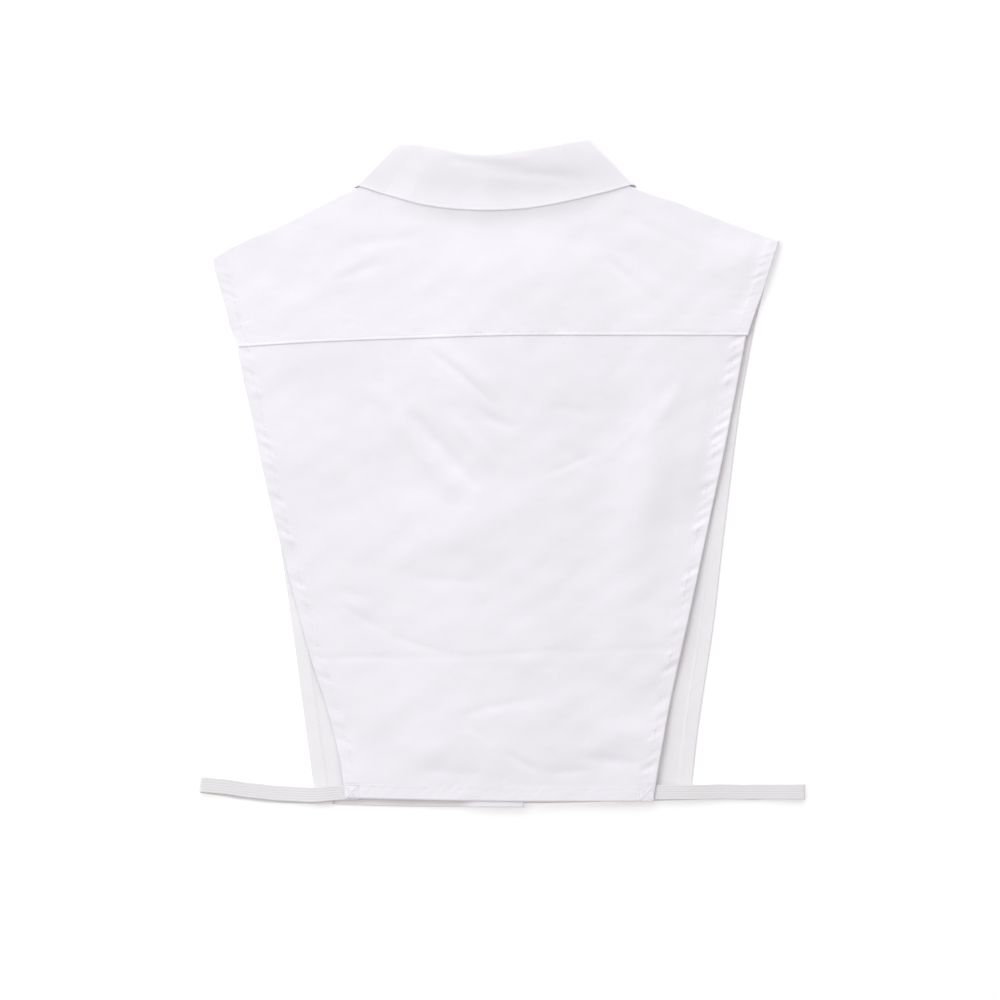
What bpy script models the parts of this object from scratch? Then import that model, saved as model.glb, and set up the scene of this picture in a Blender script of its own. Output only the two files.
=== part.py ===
"""A sleeveless false shirt front with a shirt collar, in white cotton.

It lies face down with its back up. X runs across the back (the wearer's left is -X), Y runs from the
hem up to the collar and Z is up. The origin is on the floor under the middle of the outline. Sizes in
this file are in millimetres, and mesh_object turns them into Blender's metres.
"""

from collections import namedtuple

import bpy
import numpy as np

MM = 0.001

# Cloth, as wall thickness
CLOTH = 1.0
HEM_CLOTH = 1.6
COLLAR_CLOTH = 1.0
ELASTIC_CLOTH = 1.0

# Gaps between pieces
SEAM_GAP = 0.3
NECK_GAP = 0.8

# Widths of the turned edges, and how sharply their inner fold steps down
ARMHOLE_HEM = 8.0
BACK_SIDE_HEM = 8.0
BACK_BOTTOM_HEM = 10.0
FRONT_SIDE_HEM = 10.0
FRONT_BOTTOM_HEM = 10.0
BUTTON_STAND = 27.0
HEM_STEP = 0.6

# How high the back lies over the fronts
BACK_LEVEL = 4.8
CROWN_RISE = 3.6
CROWN_HALF_WIDTH = 55.0
CROWN_POWER = 2.5
CROWN_ENDS_AT = (168.0, 203.0)
RIGHT_EDGE_LIFT = 1.2
RIGHT_EDGE_FROM = (85.0, 150.0)
HEM_CORNER_LIFT = 1.2
HEM_CORNER_REACH = 26.0
HEM_CORNERS = ((-111.8, -230.0), (107.2, -232.2))
SHOULDER_TIP_DROP = 0.8
SHOULDER_TIPS = ((-205.6, 153.0), (196.3, 165.4))
SHOULDER_TIP_REACH = 60.0
YOKE_LAP = 1.3
YOKE_LAP_DEPTH = 8.0
YOKE_PLAIN_NEAR_SEAM = 12.0

# How the fronts ride over the buttons and over the collar's points
BUTTON_RIDGE = 2.3
BUTTON_RIDGE_HALF_WIDTHS = (20.0, 78.0)
LAP_RISE = 1.9
LAP_STARTS_AT = (-32.0, -17.0)
LEAF_CLEARANCE = 2.0
LEAF_MARGIN = 3.0
LEAF_SLOPE = 14.0
FRONT_MIDDLE_X = 1.8

# Shoulder: depth of the yoke's flap in front of the fold
FORWARD_SEAM = 22.0

# Collar
STAND_BACK_INNER = 5.9
LEAF_BACK_TOP = 9.6
LEAF_EDGE_LIFT = 2.6
LEAF_TUCK = 5.0
FOLD_DEPTH = 1.7
FOLD_SLIDE = 4.0
EDGE_SLIDE = 2.5
STAND_TURN_INWARD = (0.80, -0.60)
STAND_TURN_INSET = 2.2
STAND_TURN_GAP = 1.0
STAND_ROWS = 3

# Buttons
BUTTON_DIAMETER = 11.0
BUTTON_THICKNESS = 2.0
BUTTON_DISH = 0.5
BUTTON_RIM = 1.4
BUTTON_SIDES = 16
FRONT_BUTTON_TOP_Y = 96.0
FRONT_BUTTON_PITCH = 59.0
FRONT_BUTTONS = 6
STAND_BUTTON_Y = 152.0

# Elastic
ELASTIC_WIDTH = 10.5
ELASTIC_STEPS = 3

# Meshing: cells across and down a panel, and the shares of the way down the yoke and its flap
BACK_CELLS = (22, 24)
FRONT_CELLS = (16, 18)
SHOULDER_CELLS = 8
YOKE_ROWS = (0.0, 0.12, 0.28, 0.44, 0.6, 0.75, 0.86, 1.0)
FLAP_ROWS = (0.35, 0.7, 1.0)
CURVE_STEPS = 10
ARMHOLE_FROM_STEP = 6
SIDE_FROM_STEP = 3
QUARTER_TURN = np.pi / 2
TURN_ANGLES = (60.0, 30.0, 0.0, -30.0, -60.0, -90.0)
ELASTIC_TURN = (60.0, 30.0, 0.0, -30.0, -60.0)
LAYER_TURN = (90.0, 60.0, 30.0, 0.0, -30.0, -60.0, -90.0)
BACK_COLLAR_STOPS = (0.8, 1.25, 1.7, 2.15, 2.6, 3.1, 3.6, 4.1, 4.6, 5.1, 5.55, 6.0, 6.4, 6.8, 7.2)
FRONT_COLLAR_STOPS = (1.0, 1.5, 2.0, 2.5, 3.0, 3.5, 4.0, 4.5, 5.0)

Point = namedtuple("Point", "x y")
CollarSection = namedtuple("CollarSection", "seam_x seam_y fold_x fold_y edge_x edge_y")
Fold = namedtuple("Fold", "x0 y0 x1 y1 width height")
StrapStation = namedtuple("StrapStation", "x y z")

# The collar across the back, from the wearer's left side turn to the right
BACK_COLLAR = (
    CollarSection(-88.4, 208.7, -75.6, 233.9, -106.1, 203.8),
    CollarSection(-69.9, 204.5, -60.0, 233.4, -81.3, 197.2),
    CollarSection(-48.6, 200.9, -43.0, 230.5, -57.2, 191.0),
    CollarSection(-26.6, 198.4, -25.9, 227.0, -33.0, 187.9),
    CollarSection(-5.3, 197.4, -7.5, 226.6, -7.5, 186.9),
    CollarSection(16.7, 198.4, 11.0, 228.8, 19.5, 188.7),
    CollarSection(39.4, 200.9, 29.5, 231.4, 45.1, 193.1),
    CollarSection(60.7, 204.5, 47.9, 235.0, 70.6, 198.6),
    CollarSection(77.7, 208.7, 62.8, 236.1, 95.5, 204.5),
)
# The collar down each front, from the side turn to the centre front
LEFT_COLLAR = (
    CollarSection(-88.4, 208.7, -75.6, 233.9, -106.1, 203.8),
    CollarSection(-85.3, 186.9, -71.4, 210.9, -102.6, 183.9),
    CollarSection(-74.9, 168.3, -62.8, 192.4, -88.4, 160.5),
    CollarSection(-55.7, 152.7, -45.8, 176.1, -70.7, 139.2),
    CollarSection(-30.2, 143.4, -23.1, 166.9, -55.7, 124.3),
    CollarSection(-0.4, 140.6, -0.4, 164.0, -44.4, 116.4),
)
RIGHT_COLLAR = (
    CollarSection(77.7, 208.7, 62.8, 236.1, 95.5, 204.5),
    CollarSection(74.7, 186.9, 59.3, 210.9, 92.7, 183.9),
    CollarSection(64.3, 168.3, 51.5, 192.4, 79.2, 160.5),
    CollarSection(47.2, 152.7, 37.3, 176.1, 62.8, 139.2),
    CollarSection(25.9, 143.4, 20.2, 166.9, 52.2, 124.3),
    CollarSection(3.9, 140.6, 3.9, 164.0, 47.9, 116.4),
)
LEFT_LAP_END_X = 15.3
RIGHT_LAP_END_X = -11.0

# Edges seen from above, each from top to bottom or from left to right
LEFT_SHOULDER = (
    Point(-205.6, 153.0),
    Point(-182.0, 165.9),
    Point(-156.5, 176.8),
    Point(-122.5, 193.8),
    Point(-106.9, 201.0),
    Point(-88.4, 208.7),
)
RIGHT_SHOULDER = (
    Point(77.7, 208.7),
    Point(101.9, 199.5),
    Point(121.1, 193.8),
    Point(149.5, 182.5),
    Point(180.0, 171.1),
    Point(196.3, 165.4),
)
LEFT_ARMHOLE = (
    Point(-205.6, 153.0),
    Point(-203.4, 142.7),
    Point(-197.0, 119.9),
    Point(-192.8, 103.0),
    Point(-186.9, 89.5),
)
RIGHT_ARMHOLE = (
    Point(196.3, 165.4),
    Point(190.6, 148.4),
    Point(184.9, 129.9),
    Point(179.6, 115.4),
    Point(173.6, 97.5),
)
YOKE_SEAM = (
    Point(-186.9, 89.5),
    Point(-125.3, 93.0),
    Point(-58.6, 95.4),
    Point(-1.8, 97.1),
    Point(55.0, 97.5),
    Point(173.6, 97.5),
)
BACK_LEFT_EDGE = (
    Point(-187.0, 97.8),
    Point(-186.4, 80.2),
    Point(-177.1, 37.6),
    Point(-165.8, -15.6),
    Point(-150.4, -77.4),
    Point(-137.4, -126.4),
    Point(-124.6, -166.9),
    Point(-114.9, -205.2),
    Point(-111.8, -230.0),
)
BACK_RIGHT_EDGE = (
    Point(173.4, 105.7),
    Point(171.1, 88.8),
    Point(160.1, 30.5),
    Point(148.0, -27.7),
    Point(133.1, -97.3),
    Point(119.2, -161.2),
    Point(108.3, -222.2),
    Point(107.2, -232.2),
)
BACK_HEM = (
    Point(-111.8, -230.0),
    Point(-83.4, -230.8),
    Point(-1.8, -232.2),
    Point(83.4, -232.4),
    Point(107.2, -232.2),
)
FRONT_LEFT_EDGE = (
    Point(-195.9, 133.6),
    Point(-183.0, 92.0),
    Point(-174.0, 51.8),
    Point(-163.7, -5.0),
    Point(-158.0, -47.6),
    Point(-148.7, -111.5),
    Point(-143.1, -154.1),
    Point(-137.4, -196.7),
    Point(-132.4, -234.3),
)
FRONT_RIGHT_EDGE = (
    Point(189.4, 144.7),
    Point(180.0, 108.6),
    Point(174.3, 80.2),
    Point(167.2, 37.6),
    Point(156.6, -47.6),
    Point(149.5, -109.0),
    Point(139.5, -175.4),
    Point(133.1, -231.6),
)
FRONT_LEFT_HEM = (
    Point(-132.4, -234.3),
    Point(-72.8, -236.2),
    Point(-12.4, -236.4),
    Point(15.3, -236.4),
)
FRONT_RIGHT_HEM = (
    Point(-11.0, -234.2),
    Point(60.0, -233.2),
    Point(133.1, -231.6),
)

# The largest folds of the back: a soft ridge, or a trough where the height is negative
BACK_FOLDS = (
    Fold(-38.0, 77.0, -10.0, 42.0, 6.0, -0.9),
    Fold(-57.0, 41.0, -23.0, 9.0, 6.0, -0.9),
    Fold(-68.0, 33.0, -36.0, -6.0, 7.0, 0.9),
    Fold(-24.0, 62.0, 2.0, 30.0, 7.0, 0.7),
    Fold(41.0, 3.0, -2.0, -42.0, 9.0, -0.9),
    Fold(-2.0, -42.0, -61.0, -74.0, 9.0, -0.9),
    Fold(-17.0, -18.0, -108.0, -51.0, 12.0, 1.0),
    Fold(40.0, 45.0, 54.0, 13.0, 9.0, -0.7),
    Fold(62.0, 52.0, 82.0, 8.0, 12.0, 0.8),
    Fold(125.0, 20.0, 112.0, -67.0, 14.0, -0.9),
    Fold(96.0, 30.0, 84.0, -60.0, 16.0, 1.0),
    Fold(-123.0, -104.0, -100.0, -90.0, 14.0, 0.9),
    Fold(-119.0, -92.0, -44.0, -127.0, 7.0, -0.7),
    Fold(-74.0, -205.0, -32.0, -212.0, 9.0, -0.5),
    Fold(41.0, -200.0, 100.0, -210.0, 9.0, -0.8),
    Fold(-84.0, 165.0, -144.0, 116.0, 10.0, -0.8),
    Fold(76.0, 147.0, 108.0, 124.0, 8.0, -0.7),
    Fold(150.0, 140.0, 168.0, 112.0, 10.0, -0.7),
)

# The middle line of each elastic's two legs: from under the back's hem corner out to the tip, and from
# the tip back in, on the floor, to the front's hem corner
LEFT_ELASTIC = (
    (
        StrapStation(-100.5, -226.0, 3.4),
        StrapStation(-112.0, -226.2, 3.4),
        StrapStation(-121.0, -226.6, 3.8),
        StrapStation(-134.0, -227.6, 3.8),
        StrapStation(-149.0, -227.2, 2.5),
        StrapStation(-164.0, -226.2, 1.9),
        StrapStation(-184.0, -224.0, 1.9),
        StrapStation(-199.0, -221.8, 2.7),
        StrapStation(-212.8, -220.6, 3.3),
    ),
    (
        StrapStation(-212.8, -221.4, 0.5),
        StrapStation(-199.0, -223.6, 0.5),
        StrapStation(-180.0, -226.4, 0.5),
        StrapStation(-160.0, -228.2, 0.5),
        StrapStation(-147.0, -228.8, 0.5),
        StrapStation(-140.0, -229.0, 1.2),
        StrapStation(-134.0, -229.1, 2.4),
        StrapStation(-119.5, -229.2, 2.4),
    ),
)
RIGHT_ELASTIC = (
    (
        StrapStation(96.0, -226.2, 3.4),
        StrapStation(108.0, -226.0, 3.4),
        StrapStation(120.5, -225.9, 3.8),
        StrapStation(134.5, -225.7, 3.8),
        StrapStation(149.0, -225.7, 2.5),
        StrapStation(164.0, -225.7, 1.9),
        StrapStation(184.0, -225.7, 1.9),
        StrapStation(199.0, -225.7, 2.7),
        StrapStation(212.8, -225.7, 3.3),
    ),
    (
        StrapStation(212.8, -225.7, 0.5),
        StrapStation(199.0, -225.8, 0.5),
        StrapStation(180.0, -226.0, 0.5),
        StrapStation(160.0, -226.0, 0.5),
        StrapStation(148.0, -226.0, 0.5),
        StrapStation(141.0, -226.0, 1.2),
        StrapStation(135.0, -226.0, 2.4),
        StrapStation(120.0, -226.0, 2.4),
    ),
)


def ease(value, start, end):
    """0 before start, 1 after end, with a smooth S between."""
    share = np.clip((value - start) / (end - start), 0.0, 1.0)
    return share * share * (3.0 - 2.0 * share)


def smooth(points, steps=CURVE_STEPS):
    """A Catmull-Rom curve through the points, with this many steps between each two."""
    points = np.array(points, dtype=float)
    padded = np.vstack([2 * points[0] - points[1], points, 2 * points[-1] - points[-2]])
    before, start, end, after = padded[:-3], padded[1:-2], padded[2:-1], padded[3:]
    t = (np.arange(steps) / steps)[None, :, None]
    before, start, end, after = (part[:, None, :] for part in (before, start, end, after))
    curve = 0.5 * (
        2 * start
        + (end - before) * t
        + (2 * before - 5 * start + 4 * end - after) * t**2
        + (3 * start - before - 3 * end + after) * t**3
    )
    return np.vstack([curve.reshape(-1, points.shape[1]), points[-1]])


def along(curve, share):
    """The points at these shares, 0 to 1, of a curve's length."""
    lengths = np.linalg.norm(np.diff(curve, axis=0), axis=1)
    reach = np.concatenate(([0.0], np.cumsum(lengths)))
    at = np.asarray(share, dtype=float) * reach[-1]
    return np.stack([np.interp(at, reach, column) for column in curve.T], axis=-1)


def at_section(curve, section):
    """The points of a smoothed table at these section numbers, whole or between."""
    index = np.asarray(section, dtype=float) * CURVE_STEPS
    return np.stack([np.interp(index, np.arange(len(curve)), column) for column in curve.T], axis=-1)


def unit(vectors):
    """The same vectors with a length of 1."""
    return vectors / np.linalg.norm(vectors, axis=-1, keepdims=True)


def distance_to_segment(x, y, fold):
    """How far each point lies from the straight line of a fold, its ends included."""
    run_x, run_y = fold.x1 - fold.x0, fold.y1 - fold.y0
    share = np.clip(((x - fold.x0) * run_x + (y - fold.y0) * run_y) / (run_x**2 + run_y**2), 0.0, 1.0)
    return np.hypot(x - fold.x0 - share * run_x, y - fold.y0 - share * run_y)


def back_height(x, y):
    """The height of the back panel's outer face: a low crown over the button stand, with soft folds."""
    crown = np.exp(-((np.abs(x - FRONT_MIDDLE_X) / CROWN_HALF_WIDTH) ** CROWN_POWER))
    height = BACK_LEVEL + CROWN_RISE * crown * (1.0 - 0.8 * ease(y, *CROWN_ENDS_AT))
    height = height + RIGHT_EDGE_LIFT * ease(x, *RIGHT_EDGE_FROM) * (1.0 - ease(y, 60.0, 120.0))
    for corner_x, corner_y in HEM_CORNERS:
        near = np.hypot(x - corner_x, y - corner_y) / HEM_CORNER_REACH
        height = height + HEM_CORNER_LIFT * np.exp(-(near**2))
    for tip_x, tip_y in SHOULDER_TIPS:
        near = np.hypot(x - tip_x, y - tip_y) / SHOULDER_TIP_REACH
        height = height - SHOULDER_TIP_DROP * np.exp(-(near**2))
    for fold in BACK_FOLDS:
        height = height + fold.height * np.exp(-((distance_to_segment(x, y, fold) / fold.width) ** 2))
    return height


def yoke_height(x, y):
    """The height of the yoke's outer face, which laps over the back panel's top edge."""
    return back_height(x, y) + YOKE_LAP


def distance_outside_leaf(x, y):
    """How far each point lies outside the leaf's front edges, 0 over the leaf and between its points."""
    edges = LEFT_COLLAR + RIGHT_COLLAR[::-1]
    edge_x, edge_y = [section.edge_x for section in edges], [section.edge_y for section in edges]
    stretches = zip(edge_x, edge_y, edge_x[1:], edge_y[1:])
    away = np.min([distance_to_segment(x, y, Fold(*ends, 0.0, 0.0)) for ends in stretches], axis=0)
    return np.where(y > np.interp(x, edge_x, edge_y), 0.0, away)


def front_height(x, y, is_left):
    """The height of a front's outer, lower face: over the collar's points, the buttons and the lap."""
    outside = distance_outside_leaf(x, y)
    over_leaf = LEAF_CLEARANCE * (1.0 - ease(outside, LEAF_MARGIN, LEAF_MARGIN + LEAF_SLOPE))
    over_buttons = BUTTON_RIDGE * (1.0 - ease(np.abs(x - FRONT_MIDDLE_X), *BUTTON_RIDGE_HALF_WIDTHS))
    height = np.maximum(over_leaf, over_buttons)
    if is_left:
        height = height + LAP_RISE * ease(x, *LAP_STARTS_AT)
    return height


def patch(top, bottom, left, right, across, down):
    """A four-sided panel's plan points: the four edges blended, each less its share of the corners."""
    across, down = across[..., None], down[..., None]
    corners = (
        (1 - across) * (1 - down) * left[0, 0]
        + across * (1 - down) * right[0, 0]
        + (1 - across) * down * left[-1, 0]
        + across * down * right[-1, 0]
    )
    return (1 - down) * top + down * bottom + (1 - across) * left + across * right - corners


def band_stops(width, left_band, right_band, steps, knee=None):
    """Distances across a row: closely spaced at each turned edge's inner fold, even between.

    knee is the share of the width where a column has to lie, as at a corner of the top edge.
    """
    start, end = left_band, width - right_band
    if knee is None:
        middle = np.linspace(start, end, steps + 1)
    else:
        first = max(2, round(steps * knee))
        before = np.linspace(start, knee * width, first + 1)
        middle = np.concatenate([before, np.linspace(knee * width, end, steps - first + 1)[1:]])
    turned_left = [0.0, left_band - HEM_STEP] if left_band else []
    turned_right = [width - right_band + HEM_STEP, width] if right_band else []
    return np.concatenate([turned_left, middle, turned_right])


def panel_grid(top, bottom, left, right, bands, cells, knee=None):
    """A hemmed panel's plan points, and which of them lie in a turned edge.

    top and bottom run left to right, left and right run top to bottom, and bands holds the widths of
    the turned edges at the left, the right and the bottom. cells counts those across and down between.
    """
    steps, rows = cells
    left_band, right_band, bottom_band = bands
    height = np.linalg.norm(np.diff(left, axis=0), axis=1).sum()
    down = band_stops(height, 0.0, bottom_band, rows) / height
    left_points, right_points = along(left, down), along(right, down)
    widths = np.linalg.norm(right_points - left_points, axis=1)
    across = np.array([band_stops(width, left_band, right_band, steps, knee) / width for width in widths])
    down = np.repeat(down[:, None], across.shape[1], axis=1)
    plan = patch(
        along(top, across), along(bottom, across), left_points[:, None], right_points[:, None], across, down
    )
    turned = np.zeros(across.shape, dtype=bool)
    if left_band:
        turned[:, :2] = True
    if right_band:
        turned[:, -2:] = True
    if bottom_band:
        turned[-2:, :] = True
    return plan, turned


def turn_over(hinge, inward, top, bottom, angles):
    """Points round a fold: a half circle from the top height to the bottom one, outermost on the hinge.

    hinge and inward have one row for each point along the fold, and the result one row for each angle.
    """
    radius, middle = (top - bottom) / 2, (top + bottom) / 2
    angles = np.radians(np.asarray(angles))[:, None]
    plan = hinge + inward * (radius * (1 - np.cos(angles)))[..., None]
    height = middle + radius * np.sin(angles)
    return np.concatenate([plan, height[..., None]], axis=-1)


def finish(name, colour, roughness):
    """A Principled BSDF material."""
    material = bpy.data.materials.new(name)
    material.use_nodes = True
    shader = material.node_tree.nodes["Principled BSDF"]
    shader.inputs["Base Color"].default_value = colour
    shader.inputs["Roughness"].default_value = roughness
    shader.inputs["Metallic"].default_value = 0.0
    return material


def mesh_object(name, points, faces, material):
    """An object from points in millimetres and faces, shaded smooth."""
    mesh = bpy.data.meshes.new(name)
    mesh.from_pydata((np.asarray(points) * MM).tolist(), [], faces)
    mesh.shade_smooth()
    mesh.materials.append(material)
    piece = bpy.data.objects.new(name, mesh)
    bpy.context.scene.collection.objects.link(piece)
    return piece


def cloth_object(name, grid, thickness, material, turned=None, keep=None, offset=-1.0):
    """A cloth wall on a grid of points of its outer face, thicker where an edge is turned.

    Rows that run up and columns that run right give an outer face that points up. keep marks the
    cells that are cloth, and the rest is left out. An offset of 0 puts the grid in the wall's middle.
    """
    rows, columns = grid.shape[:2]
    index = np.arange(rows * columns).reshape(rows, columns)
    cells = np.stack([index[:-1, :-1], index[:-1, 1:], index[1:, 1:], index[1:, :-1]], axis=-1)
    if keep is not None:
        cells = cells[keep]
    cells = cells.reshape(-1, 4)
    used, cells = np.unique(cells, return_inverse=True)
    piece = mesh_object(name, grid.reshape(-1, 3)[used], cells.reshape(-1, 4).tolist(), material)
    wall = piece.modifiers.new("Cloth wall", "SOLIDIFY")
    wall.offset = offset
    wall.use_even_offset = True
    wall.use_quality_normals = True
    wall.thickness = thickness * MM
    if turned is not None:
        wall.thickness = HEM_CLOTH * MM
        wall.thickness_vertex_group = thickness / HEM_CLOTH
        hem = piece.vertex_groups.new(name="Turned edge")
        hem.add(np.flatnonzero(turned.reshape(-1)[used]).tolist(), 1.0, "REPLACE")
        wall.vertex_group = hem.name
    return piece


def lifted(plan, height):
    """Plan points with a height worked out at each."""
    return np.concatenate([plan, height(plan[..., 0], plan[..., 1])[..., None]], axis=-1)


def forward_seam(shoulder, is_left):
    """Where the yoke's flap ends under the shoulder, for points along the shoulder fold.

    At the neck it follows the neckline and at the tip it runs square to the fold.
    """
    neck = LEFT_COLLAR if is_left else RIGHT_COLLAR
    neck_end = np.array([neck[1].seam_x, neck[1].seam_y])
    tip, root = (shoulder[0], shoulder[-1]) if is_left else (shoulder[-1], shoulder[0])
    run = unit(root - tip)
    square = np.array([run[1], -run[0]]) if is_left else np.array([-run[1], run[0]])
    tip_end = tip + FORWARD_SEAM * square
    share = np.linalg.norm(shoulder - tip, axis=1) / np.linalg.norm(root - tip)
    return tip_end + share[:, None] * (neck_end - tip_end)


def collar_curves(sections):
    """A collar table as three smooth plan curves: seam, fold and edge."""
    table = smooth(sections)
    return table[:, 0:2], table[:, 2:4], table[:, 4:6]


def shoulder_columns(points, is_left):
    """Points along a shoulder fold, with two more at the armhole's hem."""
    curve = smooth(points)
    length = np.linalg.norm(np.diff(curve, axis=0), axis=1).sum()
    bands = (ARMHOLE_HEM, 0.0) if is_left else (0.0, ARMHOLE_HEM)
    return along(curve, band_stops(length, *bands, SHOULDER_CELLS) / length)


def build_yoke(material):
    """The back yoke: a flat top, both shoulder folds, and the flaps in front of them."""
    left, right = shoulder_columns(LEFT_SHOULDER, True), shoulder_columns(RIGHT_SHOULDER, False)
    neck = at_section(collar_curves(BACK_COLLAR)[0], BACK_COLLAR_STOPS)
    left_inward = unit(forward_seam(left, True) - left)
    right_inward = unit(forward_seam(right, False) - right)
    hinge = np.vstack([left, neck, right])
    inward = np.vstack([left_inward, np.zeros_like(neck), right_inward])
    is_shoulder = np.linalg.norm(inward, axis=1) > 0
    top = yoke_height(hinge[:, 0], hinge[:, 1])
    bottom = front_height(hinge[:, 0], hinge[:, 1], False)
    radius = np.where(is_shoulder, (top - bottom) / 2, 0.0)
    top_plan = hinge + inward * radius[:, None]

    seam = smooth(YOKE_SEAM)
    width = np.linalg.norm(np.diff(seam, axis=0), axis=1).sum()
    counts = len(left) - 2, len(neck), len(right) - 2
    share = band_stops(width, ARMHOLE_HEM, ARMHOLE_HEM, sum(counts) - 1) / width
    seam_plan = along(seam, share)
    down = np.array(YOKE_ROWS)
    left_edge = along(np.vstack([top_plan[0], smooth(LEFT_ARMHOLE)[ARMHOLE_FROM_STEP:]]), down)
    right_edge = along(np.vstack([top_plan[-1], smooth(RIGHT_ARMHOLE)[ARMHOLE_FROM_STEP:]]), down)
    across = np.repeat(share[None, :], len(down), axis=0)
    down_grid = np.repeat(down[:, None], len(share), axis=1)
    flat = patch(top_plan[None], seam_plan[None], left_edge[:, None], right_edge[:, None], across, down_grid)
    flat[0] = top_plan
    flat_top = lifted(flat, yoke_height)
    flat_top[0, :, 2] = top

    fold = turn_over(hinge, inward, top, bottom, TURN_ANGLES)
    flap_end = hinge.copy()
    flap_end[: len(left)] = forward_seam(left, True)
    flap_end[-len(right) :] = forward_seam(right, False)
    flap_start = fold[-1, :, :2]
    flap = [flap_start + part * (flap_end - flap_start) for part in FLAP_ROWS]
    flap = lifted(np.array(flap), lambda x, y: front_height(x, y, False))

    grid = np.concatenate([flat_top[::-1], fold, flap])
    turned = np.zeros(grid.shape[:2], dtype=bool)
    turned[:, :2] = turned[:, -2:] = True
    near_seam = np.linalg.norm(grid[..., :2] - seam_plan[None], axis=-1) < YOKE_PLAIN_NEAR_SEAM
    turned[: len(down)] &= ~near_seam[: len(down)]
    keep = np.ones((grid.shape[0] - 1, grid.shape[1] - 1), dtype=bool)
    keep[len(down) - 1 :, len(left) - 1 : len(left) + len(neck)] = False
    cloth_object("back_yoke", grid, CLOTH, material, turned, keep)


def build_back_panel(material):
    """The lower back, from under the yoke's seam to the hem."""
    seam = smooth(YOKE_SEAM)
    top = seam + (0.0, YOKE_LAP_DEPTH)
    left, right = smooth(BACK_LEFT_EDGE), smooth(BACK_RIGHT_EDGE)
    top[0], top[-1] = left[0], right[0]
    bands = (BACK_SIDE_HEM, BACK_SIDE_HEM, BACK_BOTTOM_HEM)
    plan, turned = panel_grid(top, smooth(BACK_HEM), left, right, bands, BACK_CELLS)
    turned[:2, :] = False
    cloth_object("back_panel", lifted(plan, back_height)[::-1], CLOTH, material, turned[::-1])


def build_front(name, is_left, material):
    """One front: shoulder seam and neckline along the top, turned edges at the side, front and hem."""
    if is_left:
        shoulder, collar = LEFT_SHOULDER, LEFT_COLLAR
        side, hem, edge_x = smooth(FRONT_LEFT_EDGE), smooth(FRONT_LEFT_HEM), LEFT_LAP_END_X
    else:
        shoulder, collar = RIGHT_SHOULDER, RIGHT_COLLAR
        side, hem, edge_x = smooth(FRONT_RIGHT_EDGE), smooth(FRONT_RIGHT_HEM), RIGHT_LAP_END_X
    shoulder = along(smooth(shoulder), np.linspace(0, 1, SHOULDER_CELLS + 1))
    neck = collar_curves(collar)[0][CURVE_STEPS:]
    seam = forward_seam(shoulder, is_left) - (0.0, SEAM_GAP)
    lap_end = np.array([[edge_x, neck[-1, 1]]])
    top = np.vstack([seam, neck[1:], lap_end]) if is_left else np.vstack([lap_end, neck[1:][::-1], seam])
    side = np.vstack([top[0] if is_left else top[-1], side[SIDE_FROM_STEP:]])
    middle = np.array([lap_end[0], hem[-1] if is_left else hem[0]])
    lengths = np.linalg.norm(np.diff(top, axis=0), axis=1)
    if is_left:
        corner = lengths[:SHOULDER_CELLS].sum() / lengths.sum()
    else:
        corner = 1 - lengths[-SHOULDER_CELLS:].sum() / lengths.sum()
    if is_left:
        edges, bands = (side, middle), (FRONT_SIDE_HEM, BUTTON_STAND, FRONT_BOTTOM_HEM)
    else:
        edges, bands = (middle, side), (BUTTON_STAND, FRONT_SIDE_HEM, FRONT_BOTTOM_HEM)
    plan, turned = panel_grid(top, hem, *edges, bands, FRONT_CELLS, knee=corner)
    grid = lifted(plan, lambda x, y: front_height(x, y, is_left))
    cloth_object(name, grid, CLOTH, material, turned)


def side_turn(sections, is_left):
    """The collar's fold, edge, direction to the edge and direction inward at one side turn."""
    fold = np.array([sections[0].fold_x, sections[0].fold_y])
    edge = np.array([sections[0].edge_x, sections[0].edge_y])
    out = unit(edge - fold)
    inward = np.array([-out[1], out[0]]) if is_left else np.array([out[1], -out[0]])
    return fold, edge, out, inward


def leaf_profile(width):
    """The leaf's path from inside the stand, over the fold and down: places along it and on its fold.

    Each row has the distance from the fold, the share of the fold's height and the share of the fall.
    """
    turn = np.radians((-90.0, -55.0, -20.0, 20.0, 55.0, 90.0))
    over_fold = np.stack([FOLD_DEPTH * (1 - np.cos(turn)), (1 + np.sin(turn)) / 2, np.zeros(6)], axis=-1)
    fall = np.array([0.18, 0.4, 0.6, 0.8, 1.0])
    down_fall = np.stack([FOLD_DEPTH + fall * (width - FOLD_DEPTH), np.ones(5), fall], axis=-1)
    return np.vstack([[LEAF_TUCK, 0.0, 0.0], over_fold, down_fall])


def leaf_column(fold, edge, inner, fold_top, edge_top):
    """One flat section of the leaf: its plan points and its heights.

    inner is the height of the tucked end, and fold_top and edge_top are the outer face's heights.
    """
    width = np.linalg.norm(edge - fold)
    distance, rise, fall = leaf_profile(width).T
    plan = fold + unit(edge - fold) * distance[:, None]
    outer = fold_top + (edge_top - fold_top) * ease(fall, 0.2, 1.0)
    return plan, inner + rise * (outer - inner)


def back_leaf_column(fold, edge):
    """A section of the leaf across the back, lifted at its edge off the yoke."""
    edge_top = yoke_height(edge[0], edge[1]) + LEAF_EDGE_LIFT + COLLAR_CLOTH
    return leaf_column(fold, edge, STAND_BACK_INNER, LEAF_BACK_TOP, edge_top)


def front_leaf_column(fold, edge, is_left):
    """A section of the leaf down a front, whose fall lies flat on the floor."""
    tuck = fold + unit(edge - fold) * LEAF_TUCK
    inner = front_height(tuck[0], tuck[1], is_left) + COLLAR_CLOTH
    return leaf_column(fold, edge, inner, 0.0, 0.0)


def turn_slide(distance, width):
    """How far a point of the collar slides along the turn's line as it goes a quarter turn round it."""
    return FOLD_SLIDE + (EDGE_SLIDE - FOLD_SLIDE) * distance / width


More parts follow.
